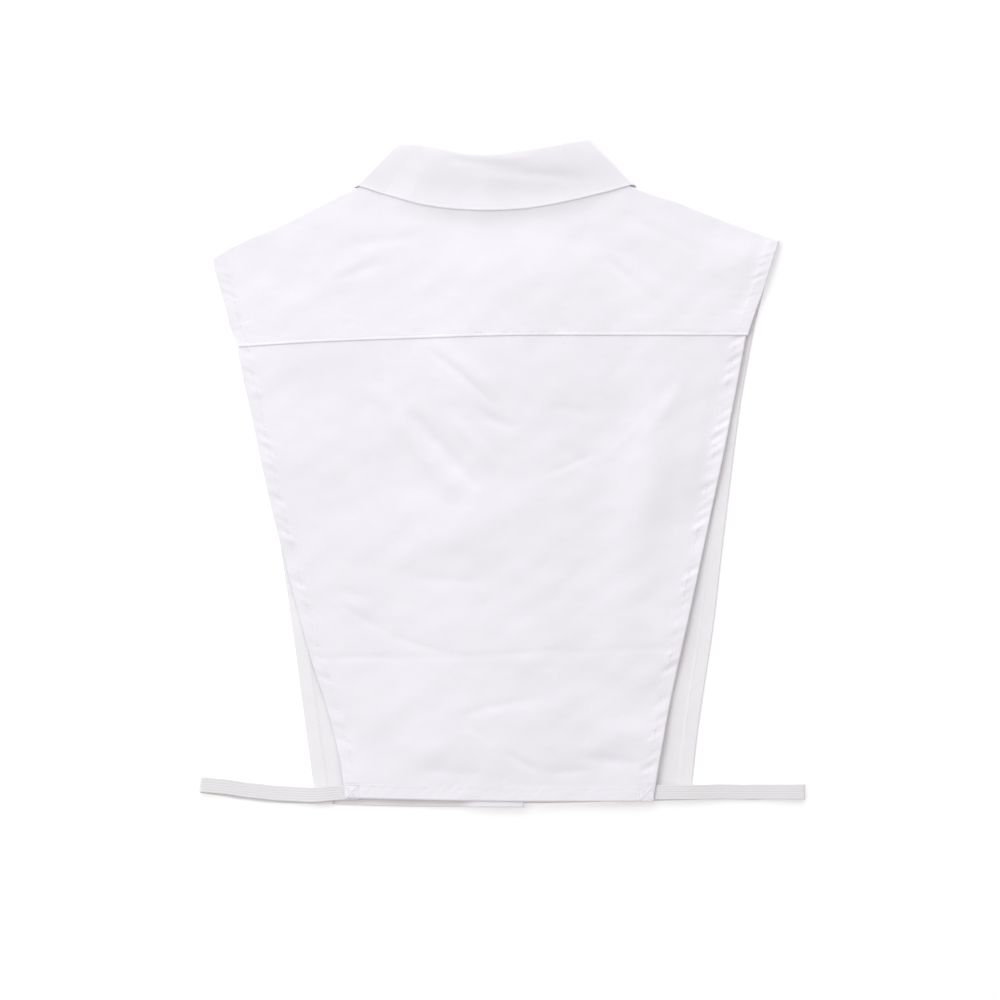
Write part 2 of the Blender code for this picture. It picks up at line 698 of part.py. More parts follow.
def leaf_turn(sections, is_left, angles):
    """The leaf's sections round one side of the neck, from above to below.

    The collar crosses the turn's line aslant, so its sections slide along that line as they go round.
    """
    fold, edge, out, inward = side_turn(sections, is_left)
    _, upper = back_leaf_column(fold, edge)
    _, lower = front_leaf_column(fold, edge, is_left)
    width = np.linalg.norm(edge - fold)
    distance = leaf_profile(width)[:, 0]
    radius, middle = (upper[0] - lower[0]) / 2, (upper[0] + lower[0]) / 2
    above, below = upper - upper[0], lower[0] - lower
    centre = radius + ((above + below) / 2).max()
    columns = []
    for angle in np.radians(angles):
        share = (1 + np.sin(angle)) / 2
        reach = radius + below + share * (above - below)
        inset = centre - reach * np.cos(angle)
        slid = distance - turn_slide(distance, width) * angle / QUARTER_TURN
        plan = fold + out * slid[:, None] + inward * inset[:, None]
        columns.append(np.column_stack([plan, middle + reach * np.sin(angle)]))
    return columns


def build_collar_leaf(material):
    """The leaf: tucked against the stand's top, over the fold and down outside, all round the neck."""
    _, folds, edges = (at_section(curve, BACK_COLLAR_STOPS) for curve in collar_curves(BACK_COLLAR))
    back = [np.column_stack(back_leaf_column(*place)) for place in zip(folds, edges)]
    fronts = {}
    for sections, is_left in ((LEFT_COLLAR, True), (RIGHT_COLLAR, False)):
        _, folds, edges = (at_section(curve, FRONT_COLLAR_STOPS) for curve in collar_curves(sections))
        fronts[is_left] = [np.column_stack(front_leaf_column(*place, is_left)) for place in zip(folds, edges)]
    columns = (
        fronts[True][::-1]
        + leaf_turn(LEFT_COLLAR, True, LAYER_TURN[::-1])
        + back
        + leaf_turn(RIGHT_COLLAR, False, LAYER_TURN)
        + fronts[False]
    )
    cloth_object("collar_leaf", np.stack(columns, axis=1)[::-1], COLLAR_CLOTH, material)


def stand_edges(seam, fold, edge):
    """The stand's two edges in plan: just inside the leaf's tucked end, and just inside the neck seam."""
    top = fold + unit(edge - fold) * (LEAF_TUCK + SEAM_GAP)
    return top, seam + NECK_GAP * unit(top - seam)


def stand_column(top, bottom, height):
    """One flat section of the stand from its top edge to the neck seam, at a height for each point."""
    share = np.linspace(0.0, 1.0, STAND_ROWS)
    plan = top + share[:, None] * (bottom - top)
    return np.column_stack([plan, height(plan, share)])


def front_stand_column(top, bottom, is_left):
    """A section of the stand down a front."""
    return stand_column(top, bottom, lambda plan, share: front_height(plan[:, 0], plan[:, 1], is_left))


def back_stand_column(top, bottom):
    """A section of the stand across the back, from the leaf's tuck down to the yoke's neckline."""
    at_top, at_seam = STAND_BACK_INNER + COLLAR_CLOTH, yoke_height(bottom[0], bottom[1])
    return stand_column(top, bottom, lambda plan, share: at_top + share * (at_seam - at_top))


def stand_turn(sections, is_left, angles):
    """The stand's sections round one side of the neck, inside the leaf's turn."""
    fold, edge, out, leaf_inward = side_turn(sections, is_left)
    side = 1.0 if is_left else -1.0
    seam = np.array([sections[0].seam_x, sections[0].seam_y]) + NECK_GAP * np.array([0.9 * side, 0.43])
    top = fold + out * (LEAF_TUCK + STAND_TURN_GAP) + leaf_inward * STAND_TURN_INSET
    upper, lower = back_stand_column(top, seam), front_stand_column(top, seam, is_left)
    share = np.linspace(0.0, 1.0, STAND_ROWS)[:, None]
    inward = unit((1 - share) * leaf_inward + share * np.array(STAND_TURN_INWARD) * (side, 1.0))
    columns = turn_over(upper[:, :2], inward, upper[:, 2], lower[:, 2], angles)
    slide = turn_slide(LEAF_TUCK, np.linalg.norm(edge - fold)) * (1 - share) * out
    columns[..., :2] -= slide * (np.radians(angles) / QUARTER_TURN)[:, None, None]
    return list(columns)


def build_collar_stand(material):
    """The stand: one band round the neck, its ends lapped at the centre front."""
    places = zip(*(at_section(curve, BACK_COLLAR_STOPS) for curve in collar_curves(BACK_COLLAR)))
    back = [back_stand_column(*stand_edges(*place)) for place in places]
    fronts = {}
    sides = (LEFT_COLLAR, True, LEFT_LAP_END_X), (RIGHT_COLLAR, False, RIGHT_LAP_END_X)
    for sections, is_left, lap_x in sides:
        places = zip(*(at_section(curve, FRONT_COLLAR_STOPS) for curve in collar_curves(sections)))
        columns = [front_stand_column(*stand_edges(*place), is_left) for place in places]
        centre = columns[-1][:, :2]
        half_lap = np.column_stack([np.full(STAND_ROWS, (lap_x + centre[0, 0]) / 2), centre[:, 1]])
        lap_end = np.column_stack([np.full(STAND_ROWS, lap_x), centre[:, 1]])
        columns += [lifted(plan, lambda x, y: front_height(x, y, is_left)) for plan in (half_lap, lap_end)]
        fronts[is_left] = columns
    columns = (
        fronts[True][::-1]
        + stand_turn(LEFT_COLLAR, True, LAYER_TURN[::-1])
        + back
        + stand_turn(RIGHT_COLLAR, False, LAYER_TURN)
        + fronts[False]
    )
    cloth_object("collar_stand", np.stack(columns, axis=1)[::-1], COLLAR_CLOTH, material)


def build_elastic(name, legs, lean, material):
    """A side strap: one length of flat elastic, its two legs joined by a half circle at the tip."""
    out_leg, back_leg = (smooth(leg, ELASTIC_STEPS) for leg in legs)
    tip, height = (out_leg[-1, :2] + back_leg[0, :2]) / 2, (out_leg[-1, 2], back_leg[0, 2])
    radius = (height[0] - height[1]) / 2
    away = unit(np.array([tip[0], 0.0]))
    around = turn_over((tip + radius * away)[None], -away, *np.array(height)[:, None, None], ELASTIC_TURN)
    path = np.vstack([out_leg, around[:, 0], back_leg])
    path[:, 2] = np.maximum(path[:, 2], ELASTIC_CLOTH / 2)
    half_width = np.array([lean, 1.0, 0.0]) * ELASTIC_WIDTH / 2
    grid = np.stack([path + half_width, path - half_width])
    cloth_object(name, grid, ELASTIC_CLOTH, material, offset=0.0)


def button_mesh(name, material):
    """A turned button, its dished face down, standing on the floor at the origin."""
    radius = BUTTON_DIAMETER / 2
    profile = np.array(
        [
            (radius - BUTTON_RIM, BUTTON_DISH),
            (radius - BUTTON_RIM / 2, 0.0),
            (radius, BUTTON_THICKNESS / 3),
            (radius, BUTTON_THICKNESS * 3 / 4),
            (radius - BUTTON_RIM / 3, BUTTON_THICKNESS),
        ]
    )
    turn = np.arange(BUTTON_SIDES) / BUTTON_SIDES * 2 * np.pi
    circle = np.column_stack([np.cos(turn), np.sin(turn)])
    rings = [np.column_stack([circle * r, np.full(BUTTON_SIDES, z)]) for r, z in profile]
    index = np.arange(len(profile) * BUTTON_SIDES).reshape(len(profile), BUTTON_SIDES)
    following = np.roll(index, -1, axis=1)
    sides = np.stack([index[:-1], following[:-1], following[1:], index[1:]], axis=-1).reshape(-1, 4)
    faces = [index[0, ::-1].tolist(), *sides.tolist(), index[-1].tolist()]
    return mesh_object(name, np.vstack(rings), faces, material)


def build_buttons(material):
    """One button on the stand and a row down the front, all on the floor under the over lap."""
    first = button_mesh("button_stand", material)
    places = {"button_stand": STAND_BUTTON_Y}
    for number in range(FRONT_BUTTONS):
        places[f"button_{number + 1}"] = FRONT_BUTTON_TOP_Y - number * FRONT_BUTTON_PITCH
    for name, y in places.items():
        button = first
        if name != first.name:
            button = bpy.data.objects.new(name, first.data)
            bpy.context.scene.collection.objects.link(button)
        button.location = (FRONT_MIDDLE_X * MM, y * MM, 0.0)


def main():
    """Clears the scene and builds every piece."""
    for old in list(bpy.data.objects):
        bpy.data.objects.remove(old)
    cotton = finish("White cotton", (0.89, 0.89, 0.92, 1.0), 0.85)
    elastic = finish("White elastic", (0.80, 0.80, 0.82, 1.0), 0.7)
    shell = finish("White button", (0.90, 0.90, 0.88, 1.0), 0.25)
    build_yoke(cotton)
    build_back_panel(cotton)
    build_front("front_left", True, cotton)
    build_front("front_right", False, cotton)
    build_collar_stand(cotton)
    build_collar_leaf(cotton)
    build_elastic("elastic_left", LEFT_ELASTIC, 0.1, elastic)
    build_elastic("elastic_right", RIGHT_ELASTIC, 0.0, elastic)
    build_buttons(shell)


main()
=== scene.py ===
"""Dresses a sleeveless false shirt front with a shirt collar, in white cotton, for its picture.

It lies face down with its back up. X runs across the back (the wearer's left is -X), Y runs from the hem
up to the collar and Z is up. Sizes in this file are in millimetres, and Maker turns them into metres.
"""

import logging
from collections.abc import Callable, Sequence
from dataclasses import dataclass, field
from enum import Enum
from typing import NamedTuple

import bpy
import numpy as np
from numpy.typing import NDArray
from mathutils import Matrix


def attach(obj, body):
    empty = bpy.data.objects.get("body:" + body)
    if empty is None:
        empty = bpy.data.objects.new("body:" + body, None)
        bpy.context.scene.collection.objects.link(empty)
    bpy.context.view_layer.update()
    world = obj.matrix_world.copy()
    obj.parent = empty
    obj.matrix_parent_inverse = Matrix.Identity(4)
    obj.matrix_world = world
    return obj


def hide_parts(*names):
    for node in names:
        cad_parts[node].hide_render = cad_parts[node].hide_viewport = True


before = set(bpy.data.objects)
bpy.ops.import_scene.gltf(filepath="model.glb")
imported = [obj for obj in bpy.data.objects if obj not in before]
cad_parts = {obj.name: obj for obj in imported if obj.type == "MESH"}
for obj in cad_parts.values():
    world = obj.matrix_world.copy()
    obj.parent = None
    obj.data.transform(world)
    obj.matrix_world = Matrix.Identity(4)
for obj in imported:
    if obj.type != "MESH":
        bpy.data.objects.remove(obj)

LOG = logging.getLogger("false_front")
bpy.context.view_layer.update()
MM = 0.001
QUARTER_TURN = np.pi / 2

Array = NDArray[np.float64]
Height = Callable[[Array, Array], Array]


class Point(NamedTuple):
    """A place seen from above."""

    x: float
    y: float


class CollarSection(NamedTuple):
    """One section of the collar seen from above: its neck seam, its fold and the leaf's edge."""

    seam_x: float
    seam_y: float
    fold_x: float
    fold_y: float
    edge_x: float
    edge_y: float


class StrapStation(NamedTuple):
    """A point of the middle line of an elastic strap."""

    x: float
    y: float
    z: float


class Crease(NamedTuple):
    """A soft fold from one end to the other: half width, height (a trough is negative) and sideways bow."""

    x0: float
    y0: float
    x1: float
    y1: float
    width: float
    height: float
    bow: float = 0.0


class Side(Enum):
    """The wearer's side that a piece belongs to."""

    LEFT = -1
    RIGHT = 1


class Cloth(Enum):
    """The walls of the visible cloth: plain, turned edge and collar."""

    PLAIN = 0.45
    TURNED = 0.85
    COLLAR = 0.9
    STRAP = 0.85


class Outline:
    """The garment's outline tables, seen from above."""

    BACK_COLLAR = (
        CollarSection(-88.4, 208.7, -75.6, 233.9, -106.1, 203.8),
        CollarSection(-69.9, 204.5, -60.0, 233.4, -81.3, 196.6),
        CollarSection(-48.6, 200.9, -43.0, 230.5, -57.2, 189.9),
        CollarSection(-26.6, 198.4, -25.9, 227.0, -33.0, 186.6),
        CollarSection(-5.3, 197.4, -7.5, 226.6, -7.5, 185.6),
        CollarSection(16.7, 198.4, 11.0, 228.8, 19.5, 187.4),
        CollarSection(39.4, 200.9, 29.5, 231.4, 45.1, 192.0),
        CollarSection(60.7, 204.5, 47.9, 235.0, 70.6, 198.1),
        CollarSection(77.7, 208.7, 62.8, 236.1, 95.5, 204.5),
    )
    FRONT_COLLAR = {
        Side.LEFT: (
            CollarSection(-88.4, 208.7, -75.6, 233.9, -106.1, 203.8),
            CollarSection(-85.3, 186.9, -71.4, 210.9, -102.6, 183.9),
            CollarSection(-74.9, 168.3, -62.8, 192.4, -88.4, 160.5),
            CollarSection(-55.7, 152.7, -45.8, 176.1, -70.7, 139.2),
            CollarSection(-30.2, 143.4, -23.1, 166.9, -55.7, 124.3),
            CollarSection(-0.4, 140.6, -0.4, 164.0, -44.4, 116.4),
        ),
        Side.RIGHT: (
            CollarSection(77.7, 208.7, 62.8, 236.1, 95.5, 204.5),
            CollarSection(74.7, 186.9, 59.3, 210.9, 92.7, 183.9),
            CollarSection(64.3, 168.3, 51.5, 192.4, 79.2, 160.5),
            CollarSection(47.2, 152.7, 37.3, 176.1, 62.8, 139.2),
            CollarSection(25.9, 143.4, 20.2, 166.9, 52.2, 124.3),
            CollarSection(3.9, 140.6, 3.9, 164.0, 47.9, 116.4),
        ),
    }
    SHOULDER = {
        Side.LEFT: (
            Point(-205.6, 153.0),
            Point(-182.0, 165.9),
            Point(-156.5, 176.8),
            Point(-122.5, 193.8),
            Point(-106.9, 201.0),
            Point(-88.4, 208.7),
        ),
        Side.RIGHT: (
            Point(77.7, 208.7),
            Point(101.9, 199.5),
            Point(121.1, 193.8),
            Point(149.5, 182.5),
            Point(180.0, 171.1),
            Point(196.3, 165.4),
        ),
    }
    ARMHOLE = {
        Side.LEFT: (
            Point(-205.6, 153.0),
            Point(-203.4, 142.7),
            Point(-197.0, 119.9),
            Point(-192.8, 103.0),
            Point(-186.9, 89.5),
        ),
        Side.RIGHT: (
            Point(196.3, 165.4),
            Point(190.6, 148.4),
            Point(184.9, 129.9),
            Point(179.6, 115.4),
            Point(173.6, 97.5),
        ),
    }
    YOKE_SEAM = (
        Point(-186.9, 89.5),
        Point(-125.3, 93.0),
        Point(-58.6, 95.4),
        Point(-1.8, 97.1),
        Point(55.0, 97.5),
        Point(173.6, 97.5),
    )
    BACK_EDGE = {
        Side.LEFT: (
            Point(-187.0, 97.8),
            Point(-186.4, 80.2),
            Point(-177.1, 37.6),
            Point(-165.8, -15.6),
            Point(-150.4, -77.4),
            Point(-137.4, -126.4),
            Point(-124.6, -166.9),
            Point(-114.9, -205.2),
            Point(-111.8, -230.0),
        ),
        Side.RIGHT: (
            Point(173.4, 105.7),
            Point(171.1, 88.8),
            Point(160.1, 30.5),
            Point(148.0, -27.7),
            Point(133.1, -97.3),
            Point(119.2, -161.2),
            Point(108.3, -222.2),
            Point(107.2, -232.2),
        ),
    }
    BACK_HEM = (
        Point(-111.8, -230.0),
        Point(-83.4, -230.8),
        Point(-1.8, -232.2),
        Point(83.4, -232.4),
        Point(107.2, -232.2),
    )
    FRONT_EDGE = {
        Side.LEFT: (
            Point(-195.9, 133.6),
            Point(-183.0, 92.0),
            Point(-174.0, 51.8),
            Point(-163.7, -5.0),
            Point(-158.0, -47.6),
            Point(-148.7, -111.5),
            Point(-143.1, -154.1),
            Point(-137.4, -196.7),
            Point(-132.4, -234.3),
        ),
        Side.RIGHT: (
            Point(189.4, 144.7),
            Point(180.0, 108.6),
            Point(174.3, 80.2),
            Point(167.2, 37.6),
            Point(156.6, -47.6),
            Point(149.5, -109.0),
            Point(139.5, -175.4),
            Point(133.1, -231.6),
        ),
    }
    FRONT_HEM = {
        Side.LEFT: (
            Point(-132.4, -234.3),
            Point(-72.8, -236.2),
            Point(-12.4, -236.4),
            Point(15.3, -236.4),
        ),
        Side.RIGHT: (
            Point(-11.0, -234.2),
            Point(60.0, -233.2),
            Point(133.1, -231.6),
        ),
    }
    LAP_END_X = {Side.LEFT: 15.3, Side.RIGHT: -11.0}
    ELASTIC = {
        Side.LEFT: (
            (
                StrapStation(-100.5, -226.0, 3.4),
                StrapStation(-112.0, -226.2, 3.4),
                StrapStation(-121.0, -226.6, 3.8),
                StrapStation(-134.0, -227.6, 3.8),
                StrapStation(-149.0, -227.2, 2.5),
                StrapStation(-164.0, -226.2, 1.9),
                StrapStation(-184.0, -224.0, 1.9),
                StrapStation(-199.0, -221.8, 2.7),
                StrapStation(-212.8, -220.6, 3.3),
            ),
            (
                StrapStation(-212.8, -221.4, 0.5),
                StrapStation(-199.0, -223.6, 0.5),
                StrapStation(-180.0, -226.4, 0.5),
                StrapStation(-160.0, -228.2, 0.5),
                StrapStation(-147.0, -228.8, 0.5),
                StrapStation(-140.0, -229.0, 1.2),
                StrapStation(-134.0, -229.1, 2.4),
                StrapStation(-119.5, -229.2, 2.4),
            ),
        ),
        Side.RIGHT: (
            (
                StrapStation(96.0, -226.2, 3.4),
                StrapStation(108.0, -226.0, 3.4),
                StrapStation(120.5, -225.9, 3.8),
                StrapStation(134.5, -225.7, 3.8),
                StrapStation(149.0, -225.7, 2.5),
                StrapStation(164.0, -225.7, 1.9),
                StrapStation(184.0, -225.7, 1.9),
                StrapStation(199.0, -225.7, 2.7),
                StrapStation(212.8, -225.7, 3.3),
            ),
            (
                StrapStation(212.8, -225.7, 0.5),
                StrapStation(199.0, -225.8, 0.5),
                StrapStation(180.0, -226.0, 0.5),
                StrapStation(160.0, -226.0, 0.5),
                StrapStation(148.0, -226.0, 0.5),
                StrapStation(141.0, -226.0, 1.2),
                StrapStation(135.0, -226.0, 2.4),
                StrapStation(120.0, -226.0, 2.4),
            ),
        ),
    }


class Creases:
    """The folds and creases of each panel, placed as the photograph shows them."""

    BACK = (
        Crease(-56.0, 90.0, -4.0, 46.0, 2.4, -0.85, 1.5),
        Crease(-50.0, 94.0, 2.0, 50.0, 5.0, 0.70, 1.5),
        Crease(-22.0, 52.0, 14.0, 32.0, 3.5, -0.80, -5.0),
        Crease(-68.0, 46.0, -16.0, -12.0, 5.6, -1.90),
        Crease(-80.0, 42.0, -30.0, -18.0, 6.5, 1.30),
        Crease(-94.0, 64.0, -52.0, 16.0, 6.0, 0.80),
        Crease(-40.0, 44.0, -4.0, 2.0, 5.0, 1.10),
        Crease(44.0, -2.0, -92.0, -66.0, 15.0, 0.95, 3.0),
        Crease(2.0, 2.0, -120.0, -52.0, 12.0, 0.40),
        Crease(26.6, -3.0, 69.2, 16.0, 2.6, -0.40),
        Crease(30.0, 46.0, 70.0, 39.0, 3.6, -0.45, 2.0),
        Crease(38.0, 20.0, 64.0, 6.0, 5.0, -0.40),
        Crease(134.0, 78.0, 92.0, 18.0, 5.0, 0.60, 3.0),
        Crease(112.0, 54.0, 66.0, 6.0, 2.6, 0.30, 3.0),
        Crease(70.0, 64.0, 96.0, 84.0, 6.0, -0.45),
        Crease(54.0, 60.0, 84.0, 74.0, 8.0, 0.50),
        Crease(118.0, 84.0, 76.0, -150.0, 18.0, 1.50),
        Crease(120.0, 76.0, 94.0, -72.0, 17.0, 1.20),
        Crease(160.0, 84.0, 134.0, -60.0, 8.0, -1.30),
        Crease(-90.0, 66.0, 20.0, 68.0, 24.0, 1.20),
        Crease(-250.0, 97.0, -130.0, 99.0, 17.0, -1.50),
        Crease(70.0, -152.0, 130.0, -134.0, 18.0, 1.10),
        Crease(10.0, -202.0, 72.0, -196.0, 14.0, 0.70),
        Crease(-130.0, -122.0, -90.0, -116.0, 12.0, 0.60),
        Crease(-66.0, -74.0, -12.0, -77.4, 4.0, -0.45),
        Crease(-119.0, -83.0, -88.0, -89.0, 4.0, -0.45),
        Crease(-116.0, -91.6, -78.5, -113.0, 2.5, -0.45, -1.5),
        Crease(-85.0, -113.0, -34.0, -128.0, 3.0, -0.45, -1.0),
        Crease(-126.0, -111.0, -92.7, -94.0, 7.0, 0.25),
        Crease(-24.0, -165.0, 70.0, -140.0, 12.0, -0.55),
        Crease(-36.0, -174.0, 30.0, -159.0, 3.0, -0.45, 2.0),
        Crease(-31.0, -174.0, -6.0, -191.0, 3.0, -0.35),
        Crease(58.0, -186.0, 124.0, -186.0, 12.0, 1.30),
        Crease(-86.0, -194.0, -20.0, -196.0, 11.0, 0.80),
        Crease(0.4, -195.5, 32.0, -212.0, 2.6, -0.55, -2.0),
        Crease(26.6, -211.6, 64.0, -209.4, 2.8, -0.50, -1.0),
        Crease(50.0, -200.0, 104.0, -207.0, 4.0, -0.70),
        Crease(-2.0, -216.6, 3.0, -216.6, 1.7, -0.60),
        Crease(96.0, -212.0, 109.0, -205.0, 1.8, -0.60),
        Crease(94.0, -219.0, 107.0, -214.0, 1.6, -0.45),
        Crease(-60.0, -209.0, -12.0, -214.0, 3.0, -0.35),
    )
    YOKE = (
        Crease(-110.0, 160.0, -50.0, 168.6, 4.0, -0.45, 1.0),
        Crease(140.0, 152.0, 205.0, 148.0, 17.0, 1.70),
        Crease(60.0, 177.0, 150.0, 158.0, 13.0, 0.80),
        Crease(-124.0, 134.0, -82.0, 151.0, 3.6, -0.55),
        Crease(-150.0, 118.0, -100.0, 146.0, 8.0, 0.45),
        Crease(48.0, 160.0, 70.0, 178.0, 7.0, -0.40),
        Crease(70.0, 155.0, 93.0, 136.0, 3.0, -0.65),
        Crease(84.0, 152.0, 118.0, 122.0, 5.0, 0.55),
        Crease(76.0, 186.0, 160.0, 150.0, 5.0, -0.45),
        Crease(100.0, 180.0, 168.0, 146.0, 7.0, 0.40),
        Crease(146.0, 146.0, 172.0, 106.0, 9.0, -0.50),
    )


def ease(value: Array, start: float, end: float) -> Array:
    """Gives 0 before start and 1 after end, with a smooth S between: 3 t squared less 2 t cubed."""
    share = np.clip((value - start) / (end - start), 0.0, 1.0)
    return share * share * (3.0 - 2.0 * share)


def smooth(points: Sequence[Sequence[float]], steps: int = 10) -> Array:
    """Carries a Catmull-Rom curve through the points.

    Args:
        points: The points of the curve, each with the same number of coordinates.
        steps: How many steps there are between each two points.

    Returns:
        The curve's points, one row each.
    """
    points = np.array(points, dtype=float)
    padded = np.vstack([2 * points[0] - points[1], points, 2 * points[-1] - points[-2]])
    before, start, end, after = (
        part[:, None, :] for part in (padded[:-3], padded[1:-2], padded[2:-1], padded[3:])
    )
    t = (np.arange(steps) / steps)[None, :, None]
    curve = 0.5 * (
        2 * start
        + (end - before) * t
        + (2 * before - 5 * start + 4 * end - after) * t**2
        + (3 * start - before - 3 * end + after) * t**3
    )
    return np.vstack([curve.reshape(-1, points.shape[1]), points[-1]])


def reach_of(curve: Array) -> Array:
    """Gives the length of a curve up to each of its points."""
    return np.concatenate(([0.0], np.cumsum(np.linalg.norm(np.diff(curve, axis=0), axis=1))))


def along(curve: Array, share: Array) -> Array:
    """Gives the points at these shares, 0 to 1, of a curve's length."""
    reach = reach_of(curve)
    at = np.asarray(share, dtype=float) * reach[-1]
    return np.stack([np.interp(at, reach, column) for column in curve.T], axis=-1)


def at_section(curve: Array, section: Array, steps: int = 10) -> Array:
    """Gives the points of a smoothed table at these section numbers, whole or between."""
    index = np.asarray(section, dtype=float) * steps
    return np.stack([np.interp(index, np.arange(len(curve)), column) for column in curve.T], axis=-1)


def unit(vectors: Array) -> Array:
    """Gives the same vectors with a length of 1."""
    return vectors / np.linalg.norm(vectors, axis=-1, keepdims=True)


def beside(x: Array, y: Array, path: Array) -> tuple[Array, Array]:
    """Measures from a path: how far each point lies from it, and how far along it.

    Args:
        x: The points' X.
        y: The points' Y, of the same shape.
        path: The path's points seen from above.

    Returns:
        The distance from the nearest stretch and the length of the path up to there.
    """
    shape = np.shape(x)
    places = np.stack([np.ravel(x), np.ravel(y)], axis=-1)[:, None]
    run = np.diff(path, axis=0)
    share = ((places - path[:-1]) * run).sum(axis=-1) / (run**2).sum(axis=-1)
    share = np.clip(share, 0.0, 1.0)
    away = np.linalg.norm(places - path[:-1] - share[..., None] * run, axis=-1)
    nearest = np.argmin(away, axis=1)
    pick = np.arange(len(nearest)), nearest
    reach = reach_of(path)
    at = reach[nearest] + share[pick] * np.diff(reach)[nearest]
    return away[pick].reshape(shape), at.reshape(shape)


def inset(path: Array, distance: float) -> Array:
    """Shifts a path to its left by a distance, square to itself."""
    run = unit(np.gradient(path, axis=0))
    return path + distance * np.stack([-run[:, 1], run[:, 0]], axis=-1)


def patch(top: Array, bottom: Array, left: Array, right: Array, across: Array, down: Array) -> Array:
    """Blends a four-sided panel's plan from its edges: opposite edges mixed, less the share of the corners."""
    across, down = across[..., None], down[..., None]
    corners = (
        (1 - across) * (1 - down) * left[0, 0]
        + across * (1 - down) * right[0, 0]
        + (1 - across) * down * left[-1, 0]
        + across * down * right[-1, 0]
    )
    return (1 - down) * top + down * bottom + (1 - across) * left + across * right - corners


def spread(length: Array, edges: tuple[float, float], cells: tuple[int, int, int]) -> Array:
    """Spaces columns across a width: close together in a zone at each edge, wider apart between.

    Args:
        length: The whole width, one number or one for each row.
        edges: The widths of the zones at the start and the end.
        cells: How many cells the first zone, the middle and the last zone have.

    Returns:
        Distances from the start, with the columns last.
    """
    length = np.asarray(length, dtype=float)[..., None]
    first = np.linspace(0.0, 1.0, cells[0] + 1) * edges[0]
    middle = np.linspace(0.0, 1.0, cells[1] + 1)[1:]
    last = np.linspace(0.0, 1.0, cells[2] + 1)[1:]
    between = edges[0] + (length - sum(edges)) * middle
    return np.concatenate([first + 0 * length, between, length - edges[1] * (1 - last)], axis=-1)


@dataclass(frozen=True)
class Ripples:
    """Small unevenness of cloth: plane waves in seeded directions, their sum divided by the root of their number.

    Attributes:
        seed: The seed of the directions and phases.
        longest: The longest wave.
        shortest: The shortest wave.
        height: The height of one wave.
        count: The number of waves.
        heading: The direction that the waves run in, in radians.
        fan: How far a wave's direction may be from it.
    """

    seed: int
    longest: float
    shortest: float
    height: float
    count: int = 14
    heading: float = 0.0
    fan: float = np.pi

    def __call__(self, x: Array, y: Array) -> Array:
        """Gives the height at each place."""
        draw = np.random.default_rng(self.seed)
        length = self.longest * (self.shortest / self.longest) ** draw.random(self.count)
        angle, phase = draw.random((2, self.count)) * 2 - 1
        angle, phase = self.heading + self.fan * angle, np.pi * phase
        wave = 2 * np.pi / length
        height = np.zeros(np.shape(x))
        for k_x, k_y, start in zip(wave * np.cos(angle), wave * np.sin(angle), phase):
            height = height + np.sin(k_x * x + k_y * y + start)
        return self.height * height / np.sqrt(self.count)


def crease_height(creases: Sequence[Crease], x: Array, y: Array) -> Array:
    """Adds up soft folds: height times a bell across the fold times a hump along it that ends at both ends."""
    total = np.zeros(np.shape(x))
    for fold in creases:
        run_x, run_y = fold.x1 - fold.x0, fold.y1 - fold.y0
        run = np.hypot(run_x, run_y)
        at = ((x - fold.x0) * run_x + (y - fold.y0) * run_y) / run**2
        aside = ((y - fold.y0) * run_x - (x - fold.x0) * run_y) / run - fold.bow * 4 * at * (1 - at)
        fade = np.clip(1 - (2 * at - 1) ** 2, 0.0, 1.0)
        total = total + fold.height * fade * np.exp(-((aside / fold.width) ** 2))
    return total


@dataclass(frozen=True)
class Hem:
    """A turned and stitched edge.

    Attributes:
        path: The edge's points seen from above.
        width: The width of the turned edge.
        stitch: How far the stitches lie from the edge.
        pucker: The height of the puckers along the stitches.
        slant: How far a pucker moves along the edge for each millimetre inward.
    """

    path: Array
    width: float
    stitch: float
    pucker: float = 0.40
    slant: float = -0.8


